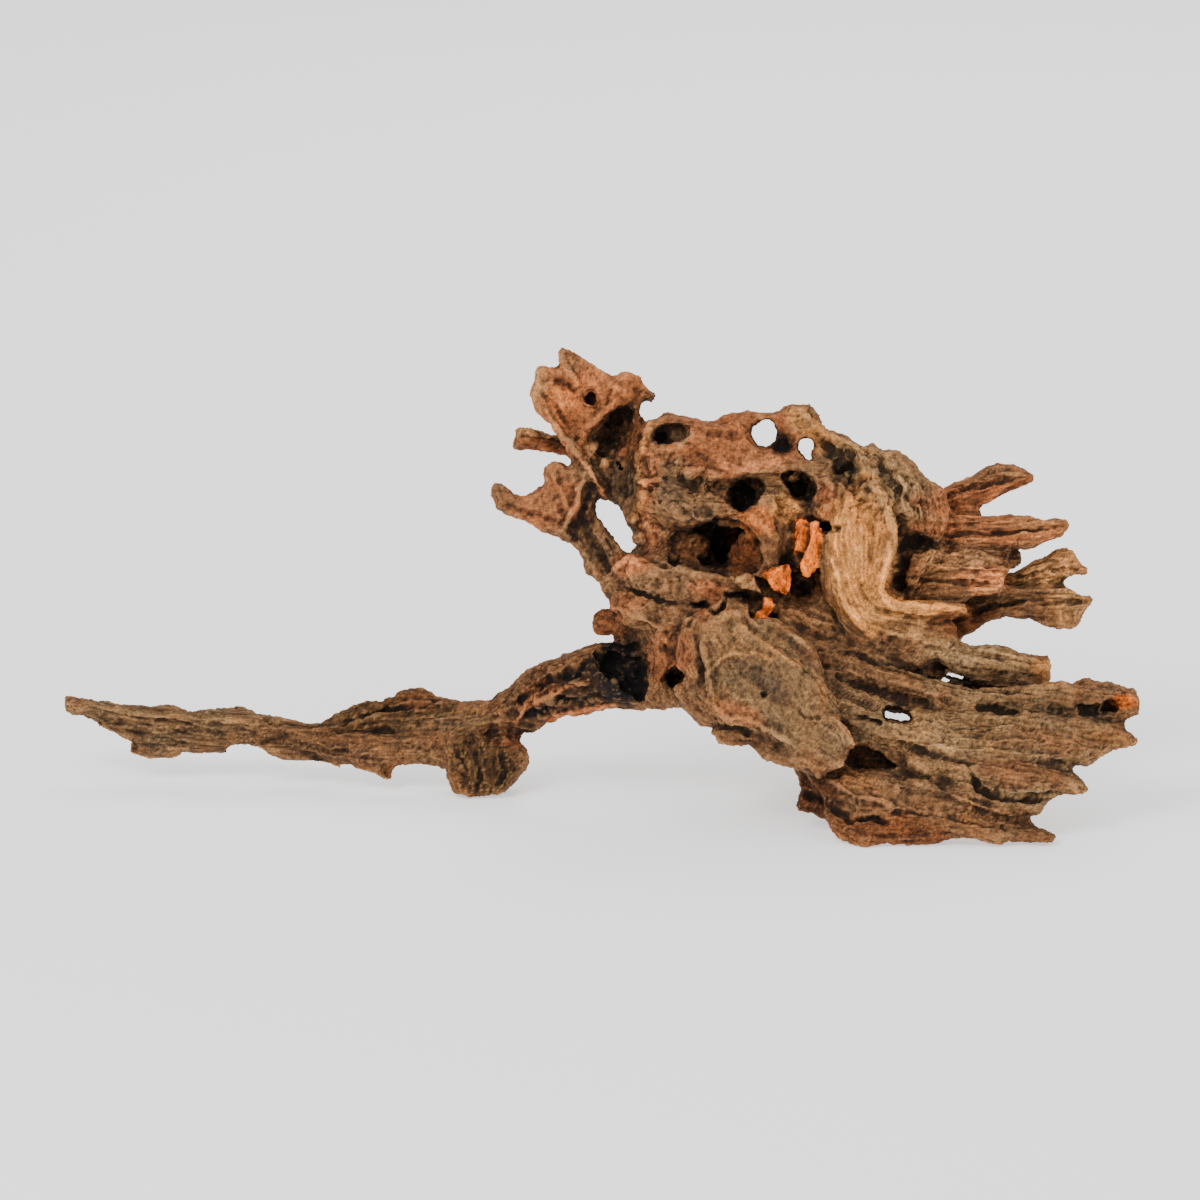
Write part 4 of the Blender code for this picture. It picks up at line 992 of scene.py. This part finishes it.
@dataclass(frozen=True)
class WeatheredWood:
    """Dry, fibrous wood: stains and painted shade from the mesh, with streaks and pores along its grain.
    """

    name: str = "weathered_wood"
    streak_width: float = 0.0011
    streak_length: float = 0.016
    pore_size: float = 0.0009
    bump: float = 0.0006
    bump_strength: float = 0.9
    pore_bump: float = 0.35
    roughness: float = 0.86
    sheen: float = 0.25
    # Colour of the pale ridges: a painted highlight along with edge wear
    ridge_highlight_and_wear_colour: tuple[float, float, float, float] = (0.45, 0.25, 0.11, 1.0)

    def material(self) -> bpy.types.Material:
        """Builds the material.

        Returns:
            The finished material, which reads the attributes tone, shade (painted shade), the pale ridges
            (a painted highlight along with edge wear), drawn and the grain banks.
        """
        made = bpy.data.materials.new(self.name)
        sheet = NodeSheet(made)
        where = sheet.node("ShaderNodeTexCoord").outputs["Object"]
        streaks = self.streaks(sheet, where)
        pores = self.pores(sheet, where)
        sheet.feed(sheet.shader.inputs["Base Color"], self.colour(sheet, streaks, pores))
        height = sheet.maths("MULTIPLY_ADD", pores, self.pore_bump, streaks)
        bump = sheet.node("ShaderNodeBump")
        bump.inputs["Strength"].default_value = self.bump_strength
        bump.inputs["Distance"].default_value = self.bump
        sheet.feed(bump.inputs["Height"], height)
        sheet.feed(sheet.shader.inputs["Normal"], bump.outputs[0])
        sheet.shader.inputs["Roughness"].default_value = self.roughness
        sheet.shader.inputs["Specular IOR Level"].default_value = self.sheen
        return made

    def streaks(self, sheet: NodeSheet, where: bpy.types.NodeSocket) -> bpy.types.NodeSocket:
        """Fibre streaks: one stretched noise for each grain angle, mixed by the grain attributes."""
        total: object = 0.0
        for bank, start in zip(GRAIN_BANKS, range(0, len(GRAIN_ANGLES), 3)):
            angles = GRAIN_ANGLES[start:start + 3]
            share = sheet.node("ShaderNodeAttribute", attribute_name=bank).outputs["Color"]
            parts = sheet.node("ShaderNodeSeparateColor")
            sheet.feed(parts.inputs[0], share)
            for part, angle in zip(parts.outputs, angles):
                lay = sheet.node("ShaderNodeMapping", vector_type="TEXTURE")
                lay.inputs["Rotation"].default_value = BOARD.grain_turn(angle).to_euler()
                lay.inputs["Scale"].default_value = (
                    self.streak_length, self.streak_width, self.streak_width)
                sheet.feed(lay.inputs["Vector"], where)
                noise = sheet.node("ShaderNodeTexNoise")
                noise.inputs["Scale"].default_value = 1.0
                noise.inputs["Detail"].default_value = 4.0
                noise.inputs["Roughness"].default_value = 0.68
                sheet.feed(noise.inputs["Vector"], lay.outputs[0])
                total = sheet.maths("MULTIPLY_ADD", part, noise.outputs["Fac"], total)
        return total

    def pores(self, sheet: NodeSheet, where: bpy.types.NodeSocket) -> bpy.types.NodeSocket:
        """Uneven specks that have no direction."""
        noise = sheet.node("ShaderNodeTexNoise")
        noise.inputs["Scale"].default_value = 1 / self.pore_size
        noise.inputs["Detail"].default_value = 3.0
        noise.inputs["Roughness"].default_value = 0.65
        sheet.feed(noise.inputs["Vector"], where)
        return noise.outputs["Fac"]

    def colour(self, sheet: NodeSheet, streaks: object, pores: object) -> bpy.types.NodeSocket:
        """The tone, darkened in streaks and pores, with painted shade in hollows and creases and pale
        ridges that are a painted highlight along with edge wear.
        """
        tone = sheet.node("ShaderNodeAttribute", attribute_name="tone").outputs["Color"]
        shade = sheet.node("ShaderNodeAttribute", attribute_name="shade").outputs["Fac"]
        ridge_highlight_and_wear = sheet.node("ShaderNodeAttribute", attribute_name="ridge_highlight_and_wear").outputs["Fac"]
        drawn = sheet.node("ShaderNodeAttribute", attribute_name="drawn").outputs["Fac"]
        fibre = sheet.maths("MULTIPLY_ADD", sheet.spread(streaks, 0.36, 0.64, -0.5, 0.5), drawn, 1.0)
        speck = sheet.spread(pores, 0.34, 0.64, 0.64, 1.28)
        # The shade attribute is painted shade: it darkens covered hollows and creases and lightens ridges
        level = sheet.maths("MULTIPLY", sheet.maths("MULTIPLY", fibre, speck), shade)
        grey = sheet.node("ShaderNodeCombineColor")
        for socket in grey.inputs:
            sheet.feed(socket, level)
        stained = sheet.blend("MULTIPLY", 1.0, tone, grey.outputs[0])
        # Pale ridges: a painted highlight where ridges stand open to the sky, along with edge wear
        return sheet.blend("MIX", ridge_highlight_and_wear, stained, self.ridge_highlight_and_wear_colour)


@dataclass(frozen=True)
class Side:
    """A cut across the wood, which keeps the places where across * u + up * v is under the limit."""

    across: float
    up: float
    limit: float


@dataclass(frozen=True)
class Section:
    """A length of the wood between cuts. All sections share one surface, so no joint shows."""

    name: str
    sides: tuple[Side, ...]

    def cut(self, whole: bpy.types.Mesh) -> bpy.types.Object:
        """Takes this section out of the whole surface and closes its cuts.

        Args:
            whole: the finished surface of the whole piece.

        Returns:
            An object with the section's own closed mesh.
        """
        sheet = bmesh.new()
        sheet.from_mesh(whole)
        axes = BOARD.axes()
        for side in self.sides:
            way = axes[0] * side.across + axes[1] * side.up
            length = np.linalg.norm(way)
            spot = BOARD.point(0, 0, 0) + Vector(way / length) * (side.limit / length * MM)
            every = [*sheet.verts, *sheet.edges, *sheet.faces]
            cut = bmesh.ops.bisect_plane(
                sheet, geom=every, dist=1e-7, plane_co=spot, plane_no=Vector(way), clear_outer=True)
            rims = [part for part in cut["geom_cut"] if isinstance(part, bmesh.types.BMEdge)]
            rims = [edge for edge in rims if edge.is_boundary]
            caps = bmesh.ops.triangle_fill(
                sheet, edges=rims, normal=Vector(way), use_beauty=True)
            for part in caps["geom"]:
                if isinstance(part, bmesh.types.BMFace):
                    part.smooth = False
            open_rims = [edge for edge in rims if edge.is_valid and edge.is_boundary]
            bmesh.ops.holes_fill(sheet, edges=open_rims, sides=0)
            for edge in rims:
                edge.smooth = False
        mesh = bpy.data.meshes.new(self.name)
        sheet.to_mesh(mesh)
        loose = sum(not edge.is_manifold for edge in sheet.edges)
        log.info("%s: %d triangles, %d open edges", self.name, len(sheet.calc_loop_triangles()), loose)
        sheet.free()
        piece = bpy.data.objects.new(self.name, mesh)
        bpy.context.scene.collection.objects.link(piece)
        return piece


# Cloudy noises: wander of the fibres and the strokes, forms of the surface, borders and mottling
FIBRE_WANDER = Cloud(5, 16, 2)
STROKE_WANDER = (Cloud(11, 7, 2), Cloud(12, 7, 2))
LUMP_CLOUD = Cloud(23, 14)
SPLIT_CLOUD = Cloud(47, 12, 1)
PIT_CLOUD = Cloud(53, 4.4, 2, 0.6)
KNOB_CLOUD = Cloud(67, 7.5, 2, 0.45)
CRUMB_CLOUD = Cloud(73, 3.2, 2, 0.8)
GROUND_EDGES = Cloud(71, 8, 2)
STAIN_EDGES = Cloud(61, 9, 3, 0.6)
VEIN_EDGES = Cloud(61, 5, 2, shift=30)
MOTTLE = Cloud(61, 6.5, 3, 0.65, 50)
WARMTH = Cloud(61, 13, 2, shift=80)

# Noises drawn out along the fibres, from the broadest folds to the finest streaks
FOLD_FIBRES = Fibre(6.5, 44, 31)
LAYER_FIBRES = Fibre(9.0, 46, 37)
FINE_FIBRES = Fibre(2.7, 26, 41)
SPLIT_FIBRES = Fibre(3.4, 34, 43)
STREAK_FIBRES = Fibre(1.6, 12, 59)

NECK_CUT = Side(0.6, 0.8, -34.8)
BODY_SIDE = Side(-0.6, -0.8, 34.8)

SECTIONS: tuple[Section, ...] = (
    Section("branch_and_knob", (NECK_CUT,)),
    Section("head_and_crown", (BODY_SIDE, Side(1, 0, 50))),
    Section("core_and_leaf", (Side(-1, 0, -50), Side(1, 0, 90))),
    Section("fold_and_fan", (Side(-1, 0, -90), Side(1, 0, 136))),
    Section("root_ends", (Side(-1, 0, -136),)),
)


@dataclass
class Driftwood:
    """The whole grown piece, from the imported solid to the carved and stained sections.

    Lengths and heights are in millimetres, but for hollow_reach, which is in metres. The wander and
    raggedness values scale their noises, and the softening values count averaging rounds.
    """

    node: str = "driftwood"
    voxel: float = 0.75
    roundings: int = 12
    rounding_steps: tuple[float, float] = (0.62, -0.64)
    route_core: float = 3.0
    fibre_wander: float = 0.22
    normal_softening: int = 24
    stroke_wander: float = 0.9
    ground_raggedness: float = 0.25
    lumps: float = 1.0
    folds: float = 0.7
    fibres: float = 0.32
    flakes: float = 0.8
    cracks: float = 1.2
    pits: float = 1.2
    crumbs: float = 0.5
    knobs: float = 2.4
    stain_raggedness: float = 0.30
    vein_raggedness: float = 0.7
    mottle: float = 0.34
    warmth: float = 0.12
    streak_tone: float = 0.2
    # Strength of the painted shade in carved grooves and painted highlight on raised strokes
    stroke_shade_and_highlight: float = 0.16
    bend_softening: tuple[int, int] = (4, 30)
    hollow_reach: float = 0.055
    sky_seed: int = 7
    sky_rays: int = 14
    sky_stride: int = 3
    sky_lift: float = 0.6
    sky_softening: int = 6
    sky_start: float = 0.8
    finish: WeatheredWood = field(default_factory=WeatheredWood)

    def build(self) -> None:
        """Makes every section and puts it on the frame's body."""
        whole = self.skin()
        surface = Surface(whole)
        low, high = (np.array(corner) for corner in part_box(self.node))
        ways, turns = self.grain(surface)
        carved = self.carve(surface)
        streaks = self.weather(surface, ways)
        surface.push(np.clip(surface.points, low, high) - surface.points)
        self.stain(surface, streaks, carved)
        for bank, start in zip(GRAIN_BANKS, range(0, len(GRAIN_ANGLES), 3)):
            surface.store(bank, turns[:, start:start + 3])
        wood = self.finish.material()
        whole.shade_smooth()
        for section in SECTIONS:
            piece = section.cut(whole)
            piece.data.materials.clear()
            piece.data.materials.append(wood)
            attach(piece, "root")
            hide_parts(self.node)
        bpy.data.meshes.remove(whole)

    def skin(self) -> bpy.types.Mesh:
        """A fine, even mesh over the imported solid's form, with its facets rounded off."""
        solid = bmesh.new()
        solid.from_mesh(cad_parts[self.node].data)
        bmesh.ops.remove_doubles(solid, verts=solid.verts, dist=1e-6)
        form = form_object("solid_form", solid)
        pockets = bmesh.new()
        for slab in FLAKE_BEDS + POCKETS:
            add_slab(pockets, slab)
        cutter = form_object("pocket_form", pockets)
        cut = form.modifiers.new("pockets", "BOOLEAN")
        cut.object = cutter
        cut.solver = "EXACT"
        cut.use_self = True
        filled = bmesh.new()
        filled.from_mesh(applied_mesh(form))
        for slab in TORN_FLAKES + BLADES:
            add_slab(filled, slab)
        for bulge in BULGES:
            add_bulge(filled, bulge)
        bpy.data.objects.remove(form)
        bpy.data.objects.remove(cutter)
        form = form_object("filled_form", filled)
        remesh = form.modifiers.new("even_skin", "REMESH")
        remesh.mode = "VOXEL"
        remesh.voxel_size = self.voxel * MM
        fine = applied_mesh(form)
        bpy.data.objects.remove(form)
        surface = Surface(fine)
        points = surface.points.copy()
        for _ in range(self.roundings):
            for share in self.rounding_steps:
                points = surface.step(points, share)
        surface.push(points - surface.points)
        return fine

    def grain(self, surface: Surface) -> tuple[np.ndarray, np.ndarray]:
        """The way the fibres run at every point.

        Args:
            surface: the mesh before carving.

        Returns:
            Unit board vectors that lie in the surface, one a point, and one row a point with a
            share for each of the grain angles.
        """
        places = BOARD.places(surface.points)
        double = np.zeros((len(places), 2))
        for route in GRAIN_ROUTES:
            corners = np.array(route, dtype=float)
            for start, end in zip(corners, corners[1:]):
                gap, _ = distance_to_route(places, (tuple(start), tuple(end)))
                angle = np.arctan2(end[1] - start[1], end[0] - start[0])
                pull = 1 / (gap**2 + self.route_core**2) ** 2
                double += pull[:, None] * np.array((np.cos(2 * angle), np.sin(2 * angle)))
        angle = np.mod(np.arctan2(double[:, 1], double[:, 0]) / 2, pi)
        angle = angle + self.fibre_wander * FIBRE_WANDER.over(places)
        ways = np.stack((np.cos(angle), np.sin(angle), np.zeros(len(places))), axis=1)
        upright = surface.soften(surface.normals, self.normal_softening) @ BOARD.axes().T
        upright /= np.linalg.norm(upright, axis=1, keepdims=True)
        ways -= upright * np.sum(ways * upright, axis=1, keepdims=True)
        ways /= np.linalg.norm(ways, axis=1, keepdims=True) + 1e-6
        gap = pi / len(GRAIN_ANGLES)
        shares = []
        for lane in GRAIN_ANGLES:
            away = np.abs(np.mod(angle - lane + pi / 2, pi) - pi / 2)
            shares.append(np.clip(1 - away / gap, 0, 1))
        table = np.stack(shares, axis=1)
        return ways, table / table.sum(axis=1, keepdims=True)

    def carve(self, surface: Surface) -> np.ndarray:
        """Cuts and raises the strokes on the front, and returns their heights in millimetres."""
        places = BOARD.places(surface.points)
        wander = np.stack([cloud.over(places) for cloud in STROKE_WANDER], axis=1)
        board = places[:, :2] + self.stroke_wander * wander
        depth_axis = BOARD.axes()[2]
        facing = smoothstep(0.05, 0.45, -surface.normals @ depth_axis)
        height = np.zeros(len(places))
        for stroke in CARVING:
            gap, along = distance_to_route(board, stroke.route)
            near = gap < stroke.half_width
            profile = (1 - (gap[near] / stroke.half_width) ** 2) ** 2
            taper = np.minimum(1.0, 0.35 + 5 * np.minimum(along[near], 1 - along[near]))
            height[near] += stroke.height * profile * taper
        surface.push(surface.normals * (height * facing * MM)[:, None])
        return height * facing

    def relief(self, places: np.ndarray) -> np.ndarray:
        """The shares of each kind of roughness at every place."""
        ragged = self.ground_raggedness * GROUND_EDGES.over(places)
        shares = np.tile(np.array(Relief.PLAIN.value), (len(places), 1))
        for ground in GROUNDS:
            share = smoothstep(BORDER_END, GROUND_BORDER, reach_of(places, ground) + ragged)
            shares += share[:, None] * (np.array(ground.relief.value) - shares)
        behind = smoothstep(*BACK_DEPTHS, places[:, 2])
        rough = np.array(Relief.BARK.value) * BACK_RELIEF
        shares += (BACK_SHARE * behind)[:, None] * (rough - shares)
        return shares

    def weather(self, surface: Surface, ways: np.ndarray) -> np.ndarray:
        """Lumps, folds, flakes, cracks, pits and knobs.

        Args:
            surface: the carved mesh.
            ways: the way of the fibres at each point.

        Returns:
            Fine streaks along the fibres for the finish, one value a point.
        """
        places = BOARD.places(surface.points)
        shares = self.relief(places).T
        lump_share, fold_share, flake_share, crack_share, pit_share, knob_share, streak_share = shares
        surface.store("drawn", streak_share)
        lumps = LUMP_CLOUD.over(places)
        wide = FOLD_FIBRES.drawn(places, ways)
        folds = 0.5 - np.abs(wide)
        layers = LAYER_FIBRES.drawn(places, ways) * 1.4 + 0.2 * wide
        flakes = np.floor(layers) + smoothstep(0.7, 1.0, layers - np.floor(layers)) - layers
        fibres = 0.5 - np.abs(FINE_FIBRES.drawn(places, ways))
        splits = SPLIT_FIBRES.drawn(places, ways) + 0.5 * SPLIT_CLOUD.over(places)
        cracks = smoothstep(1.6, 2.4, splits)
        pits = smoothstep(0.40, 0.70, PIT_CLOUD.over(places))
        knobs = np.abs(KNOB_CLOUD.over(places)) - 0.3
        crumbs = CRUMB_CLOUD.over(places)
        height = (
            self.lumps * lump_share * lumps
            + self.folds * fold_share * folds
            + self.flakes * flake_share * flakes
            + self.fibres * (0.25 + streak_share) * fibres
            + self.crumbs * (1.1 - streak_share) * crumbs
            + self.knobs * knob_share * knobs
            - self.cracks * crack_share * cracks
            - self.pits * pit_share * pits
        )
        surface.push(surface.normals * (height * MM)[:, None])
        return (0.3 + streak_share) * STREAK_FIBRES.drawn(places, ways)

    def stain(self, surface: Surface, streaks: np.ndarray, carved: np.ndarray) -> None:
        """Works out the tone, which holds painted shade in hollows and cracks, the painted shade of
        hollows and creases, and the pale ridges, a painted highlight along with edge wear, and keeps them.

        Args:
            surface: the finished surface.
            streaks: fine streaks along the fibres.
            carved: the heights of the strokes in millimetres.
        """
        places = BOARD.places(surface.points)
        ragged = self.stain_raggedness * STAIN_EDGES.over(places)
        tone = np.tile(Tone.BROWN.linear(), (len(places), 1))
        front = smoothstep(0.6, -0.1, surface.normals @ BOARD.axes()[2])
        for patch in PATCHES:
            reach = reach_of(places, patch) + ragged
            share = patch.strength * smoothstep(BORDER_END, STAIN_BORDER, reach)
            # Painted shade in the hollows is laid only where the wood faces the camera
            if patch.tone in PAINTED_SHADE_TONES:
                share *= front
            tone += share[:, None] * (patch.tone.linear() * patch.light - tone)
        # Veins: pale edges and ridges, and painted shade along the cracks
        wander = self.vein_raggedness * VEIN_EDGES.over(places)
        for vein in VEINS:
            gap, _ = distance_to_route(places[:, :2], vein.route)
            share = vein.strength * smoothstep(1.5, 0.4, gap / vein.half_width + wander)
            tone += share[:, None] * (vein.tone.linear() - tone)
        for flake in TORN_FLAKES:
            torn = flake_cover(places, flake)
            tone[torn] = Tone.TORN.linear()
        mottle = 1 + self.mottle * MOTTLE.over(places)
        warmth = self.warmth * WARMTH.over(places)
        tone *= mottle[:, None] * (1 + warmth[:, None] * np.array((1.0, 0.0, -1.0)))
        drawn_tone = self.streak_tone * np.clip(streaks, -2.5, 2.5)
        # Painted shade in the carved grooves and a painted highlight on the raised strokes
        stroke_shade_and_highlight = self.stroke_shade_and_highlight * np.clip(carved, -3, 1.5)
        tone *= np.exp(drawn_tone + stroke_shade_and_highlight)[:, None]
        surface.store("tone", np.clip(tone, 0.003, 0.95))
        light = self.openness(surface)
        fine, wide = self.bend(surface, self.bend_softening)
        # Painted shade: darker where wood covers the sky and in creases, and lighter on ridges as a
        # painted highlight
        shade = (0.10 + 0.90 * light**0.9) * np.clip(1 + 0.6 * fine + 0.5 * wide, 0.2, 1.7)
        surface.store("shade", np.clip(shade, 0.03, 1.6))
        # Pale ridges: a painted highlight on convex ridges open to the sky, along with edge wear
        surface.store("ridge_highlight_and_wear", smoothstep(0.45, 1.0, fine) * light * 0.35)

    def bend(self, surface: Surface, repeats: tuple[int, int]) -> tuple[np.ndarray, np.ndarray]:
        """How far each point stands out of its softened surroundings, from about -1 to 1.

        Args:
            surface: the finished surface.
            repeats: how often the surroundings are softened, for a fine and for a wide look.

        Returns:
            The fine and the wide bend, one value a point.
        """
        fine = surface.soften(surface.points, repeats[0])
        wide = surface.soften(fine, repeats[1] - repeats[0])
        bends = []
        for softer in (fine, wide):
            rise = np.sum((surface.points - softer) * surface.normals, axis=1)
            bends.append(np.clip(rise / (2.2 * rise.std()), -1, 1))
        return bends[0], bends[1]

    def openness(self, surface: Surface) -> np.ndarray:
        """The share of the sky over each point that no wood covers within reach."""
        corners = [vert.co for vert in surface.mesh.vertices]
        tree = BVHTree.FromPolygons(corners, [face.vertices for face in surface.mesh.polygons])
        draw = np.random.default_rng(self.sky_seed)
        rays = draw.normal(size=(self.sky_rays, 3))
        rays /= np.linalg.norm(rays, axis=1, keepdims=True)
        tested = np.arange(0, len(surface.points), self.sky_stride)
        normals = surface.normals[tested]
        starts = (surface.points[tested] + normals * (self.sky_start * MM)).tolist()
        found = np.zeros(len(tested))
        for ray in rays:
            toward = ray * np.sign(normals @ ray)[:, None] + normals * self.sky_lift
            toward /= np.linalg.norm(toward, axis=1, keepdims=True)
            hits = [tree.ray_cast(start, way, self.hollow_reach)[0] is None
                    for start, way in zip(starts, toward.tolist())]
            found += np.array(hits) / len(rays)
        known = np.zeros((len(surface.points), 2))
        known[tested, 0] = found
        known[tested, 1] = 1
        spread = surface.soften(known, self.sky_softening)
        return spread[:, 0] / np.maximum(spread[:, 1], 1e-6)


@dataclass
class Studio:
    """Pale floor, soft lights and the long-lens camera that faces the drawing board."""

    camera_distance: float = 6.0
    floor_size: float = 7.0
    floor_tone: float = 0.9
    floor_glow: float = 0.7
    sky_glow: float = 0.75
    sensor: float = 36.0
    aim: tuple[float, float, float] = (0.04, 0.0, 0.08)

    def build(self) -> None:
        """Makes the floor, the lights and the camera."""
        self.floor()
        self.sky()
        self.lamp("key", (-0.9, -1.3, 1.5), 0.9, 26.0)
        self.lamp("fill", (1.4, -1.1, 0.7), 1.2, 7.0)
        self.lamp("back", (0.3, 1.2, 1.1), 0.8, 8.0)
        self.camera()

    def floor(self) -> None:
        """A plain pale sheet under the wood."""
        sheet = bmesh.new()
        bmesh.ops.create_grid(sheet, x_segments=1, y_segments=1, size=self.floor_size / 2)
        mesh = bpy.data.meshes.new("floor")
        sheet.to_mesh(mesh)
        sheet.free()
        floor = bpy.data.objects.new("floor", mesh)
        bpy.context.scene.collection.objects.link(floor)
        paint = bpy.data.materials.new("pale_floor")
        paint.use_nodes = True
        shader = paint.node_tree.nodes["Principled BSDF"]
        shader.inputs["Base Color"].default_value = (*[self.floor_tone] * 3, 1)
        shader.inputs["Roughness"].default_value = 0.9
        shader.inputs["Emission Color"].default_value = (1.0, 1.0, 1.0, 1.0)
        shader.inputs["Emission Strength"].default_value = self.floor_glow
        mesh.materials.append(paint)

    def sky(self) -> None:
        """Even light from all round."""
        world = bpy.data.worlds.new("studio_sky")
        world.use_nodes = True
        backdrop = world.node_tree.nodes["Background"]
        backdrop.inputs["Color"].default_value = (1.0, 1.0, 1.0, 1.0)
        backdrop.inputs["Strength"].default_value = self.sky_glow
        bpy.context.scene.world = world

    def lamp(self, name: str, place: tuple[float, float, float], size: float, power: float) -> None:
        """A square soft light that faces the middle of the wood.

        Args:
            name: the lamp's name.
            place: its position in metres.
            size: the side of its square in metres.
            power: its power in watts.
        """
        light = bpy.data.lights.new(name, "AREA")
        light.size = size
        light.energy = power
        lamp = bpy.data.objects.new(name, light)
        lamp.location = place
        aim = Vector(self.aim) - Vector(place)
        lamp.rotation_euler = aim.to_track_quat("-Z", "Y").to_euler()
        bpy.context.scene.collection.objects.link(lamp)

    def camera(self) -> None:
        """A camera square to the drawing board, whose view is as wide as the photograph's."""
        lens = bpy.data.cameras.new("camera")
        lens.sensor_width = self.sensor
        lens.lens = lens.sensor_width * self.camera_distance / PHOTO_WIDTH
        lens.clip_end = 20.0
        camera = bpy.data.objects.new("camera", lens)
        camera.location = BOARD.point(0, 0, -self.camera_distance / MM)
        aim = Vector(BOARD.axes()[2])
        camera.rotation_euler = aim.to_track_quat("-Z", "Y").to_euler()
        bpy.context.scene.collection.objects.link(camera)
        bpy.context.scene.camera = camera


def main() -> None:
    """Builds the studio and the wood."""
    logging.basicConfig(level=logging.INFO, format="%(name)s %(message)s")
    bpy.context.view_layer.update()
    Studio().build()
    Driftwood().build()


if __name__ == "__main__":
    main()
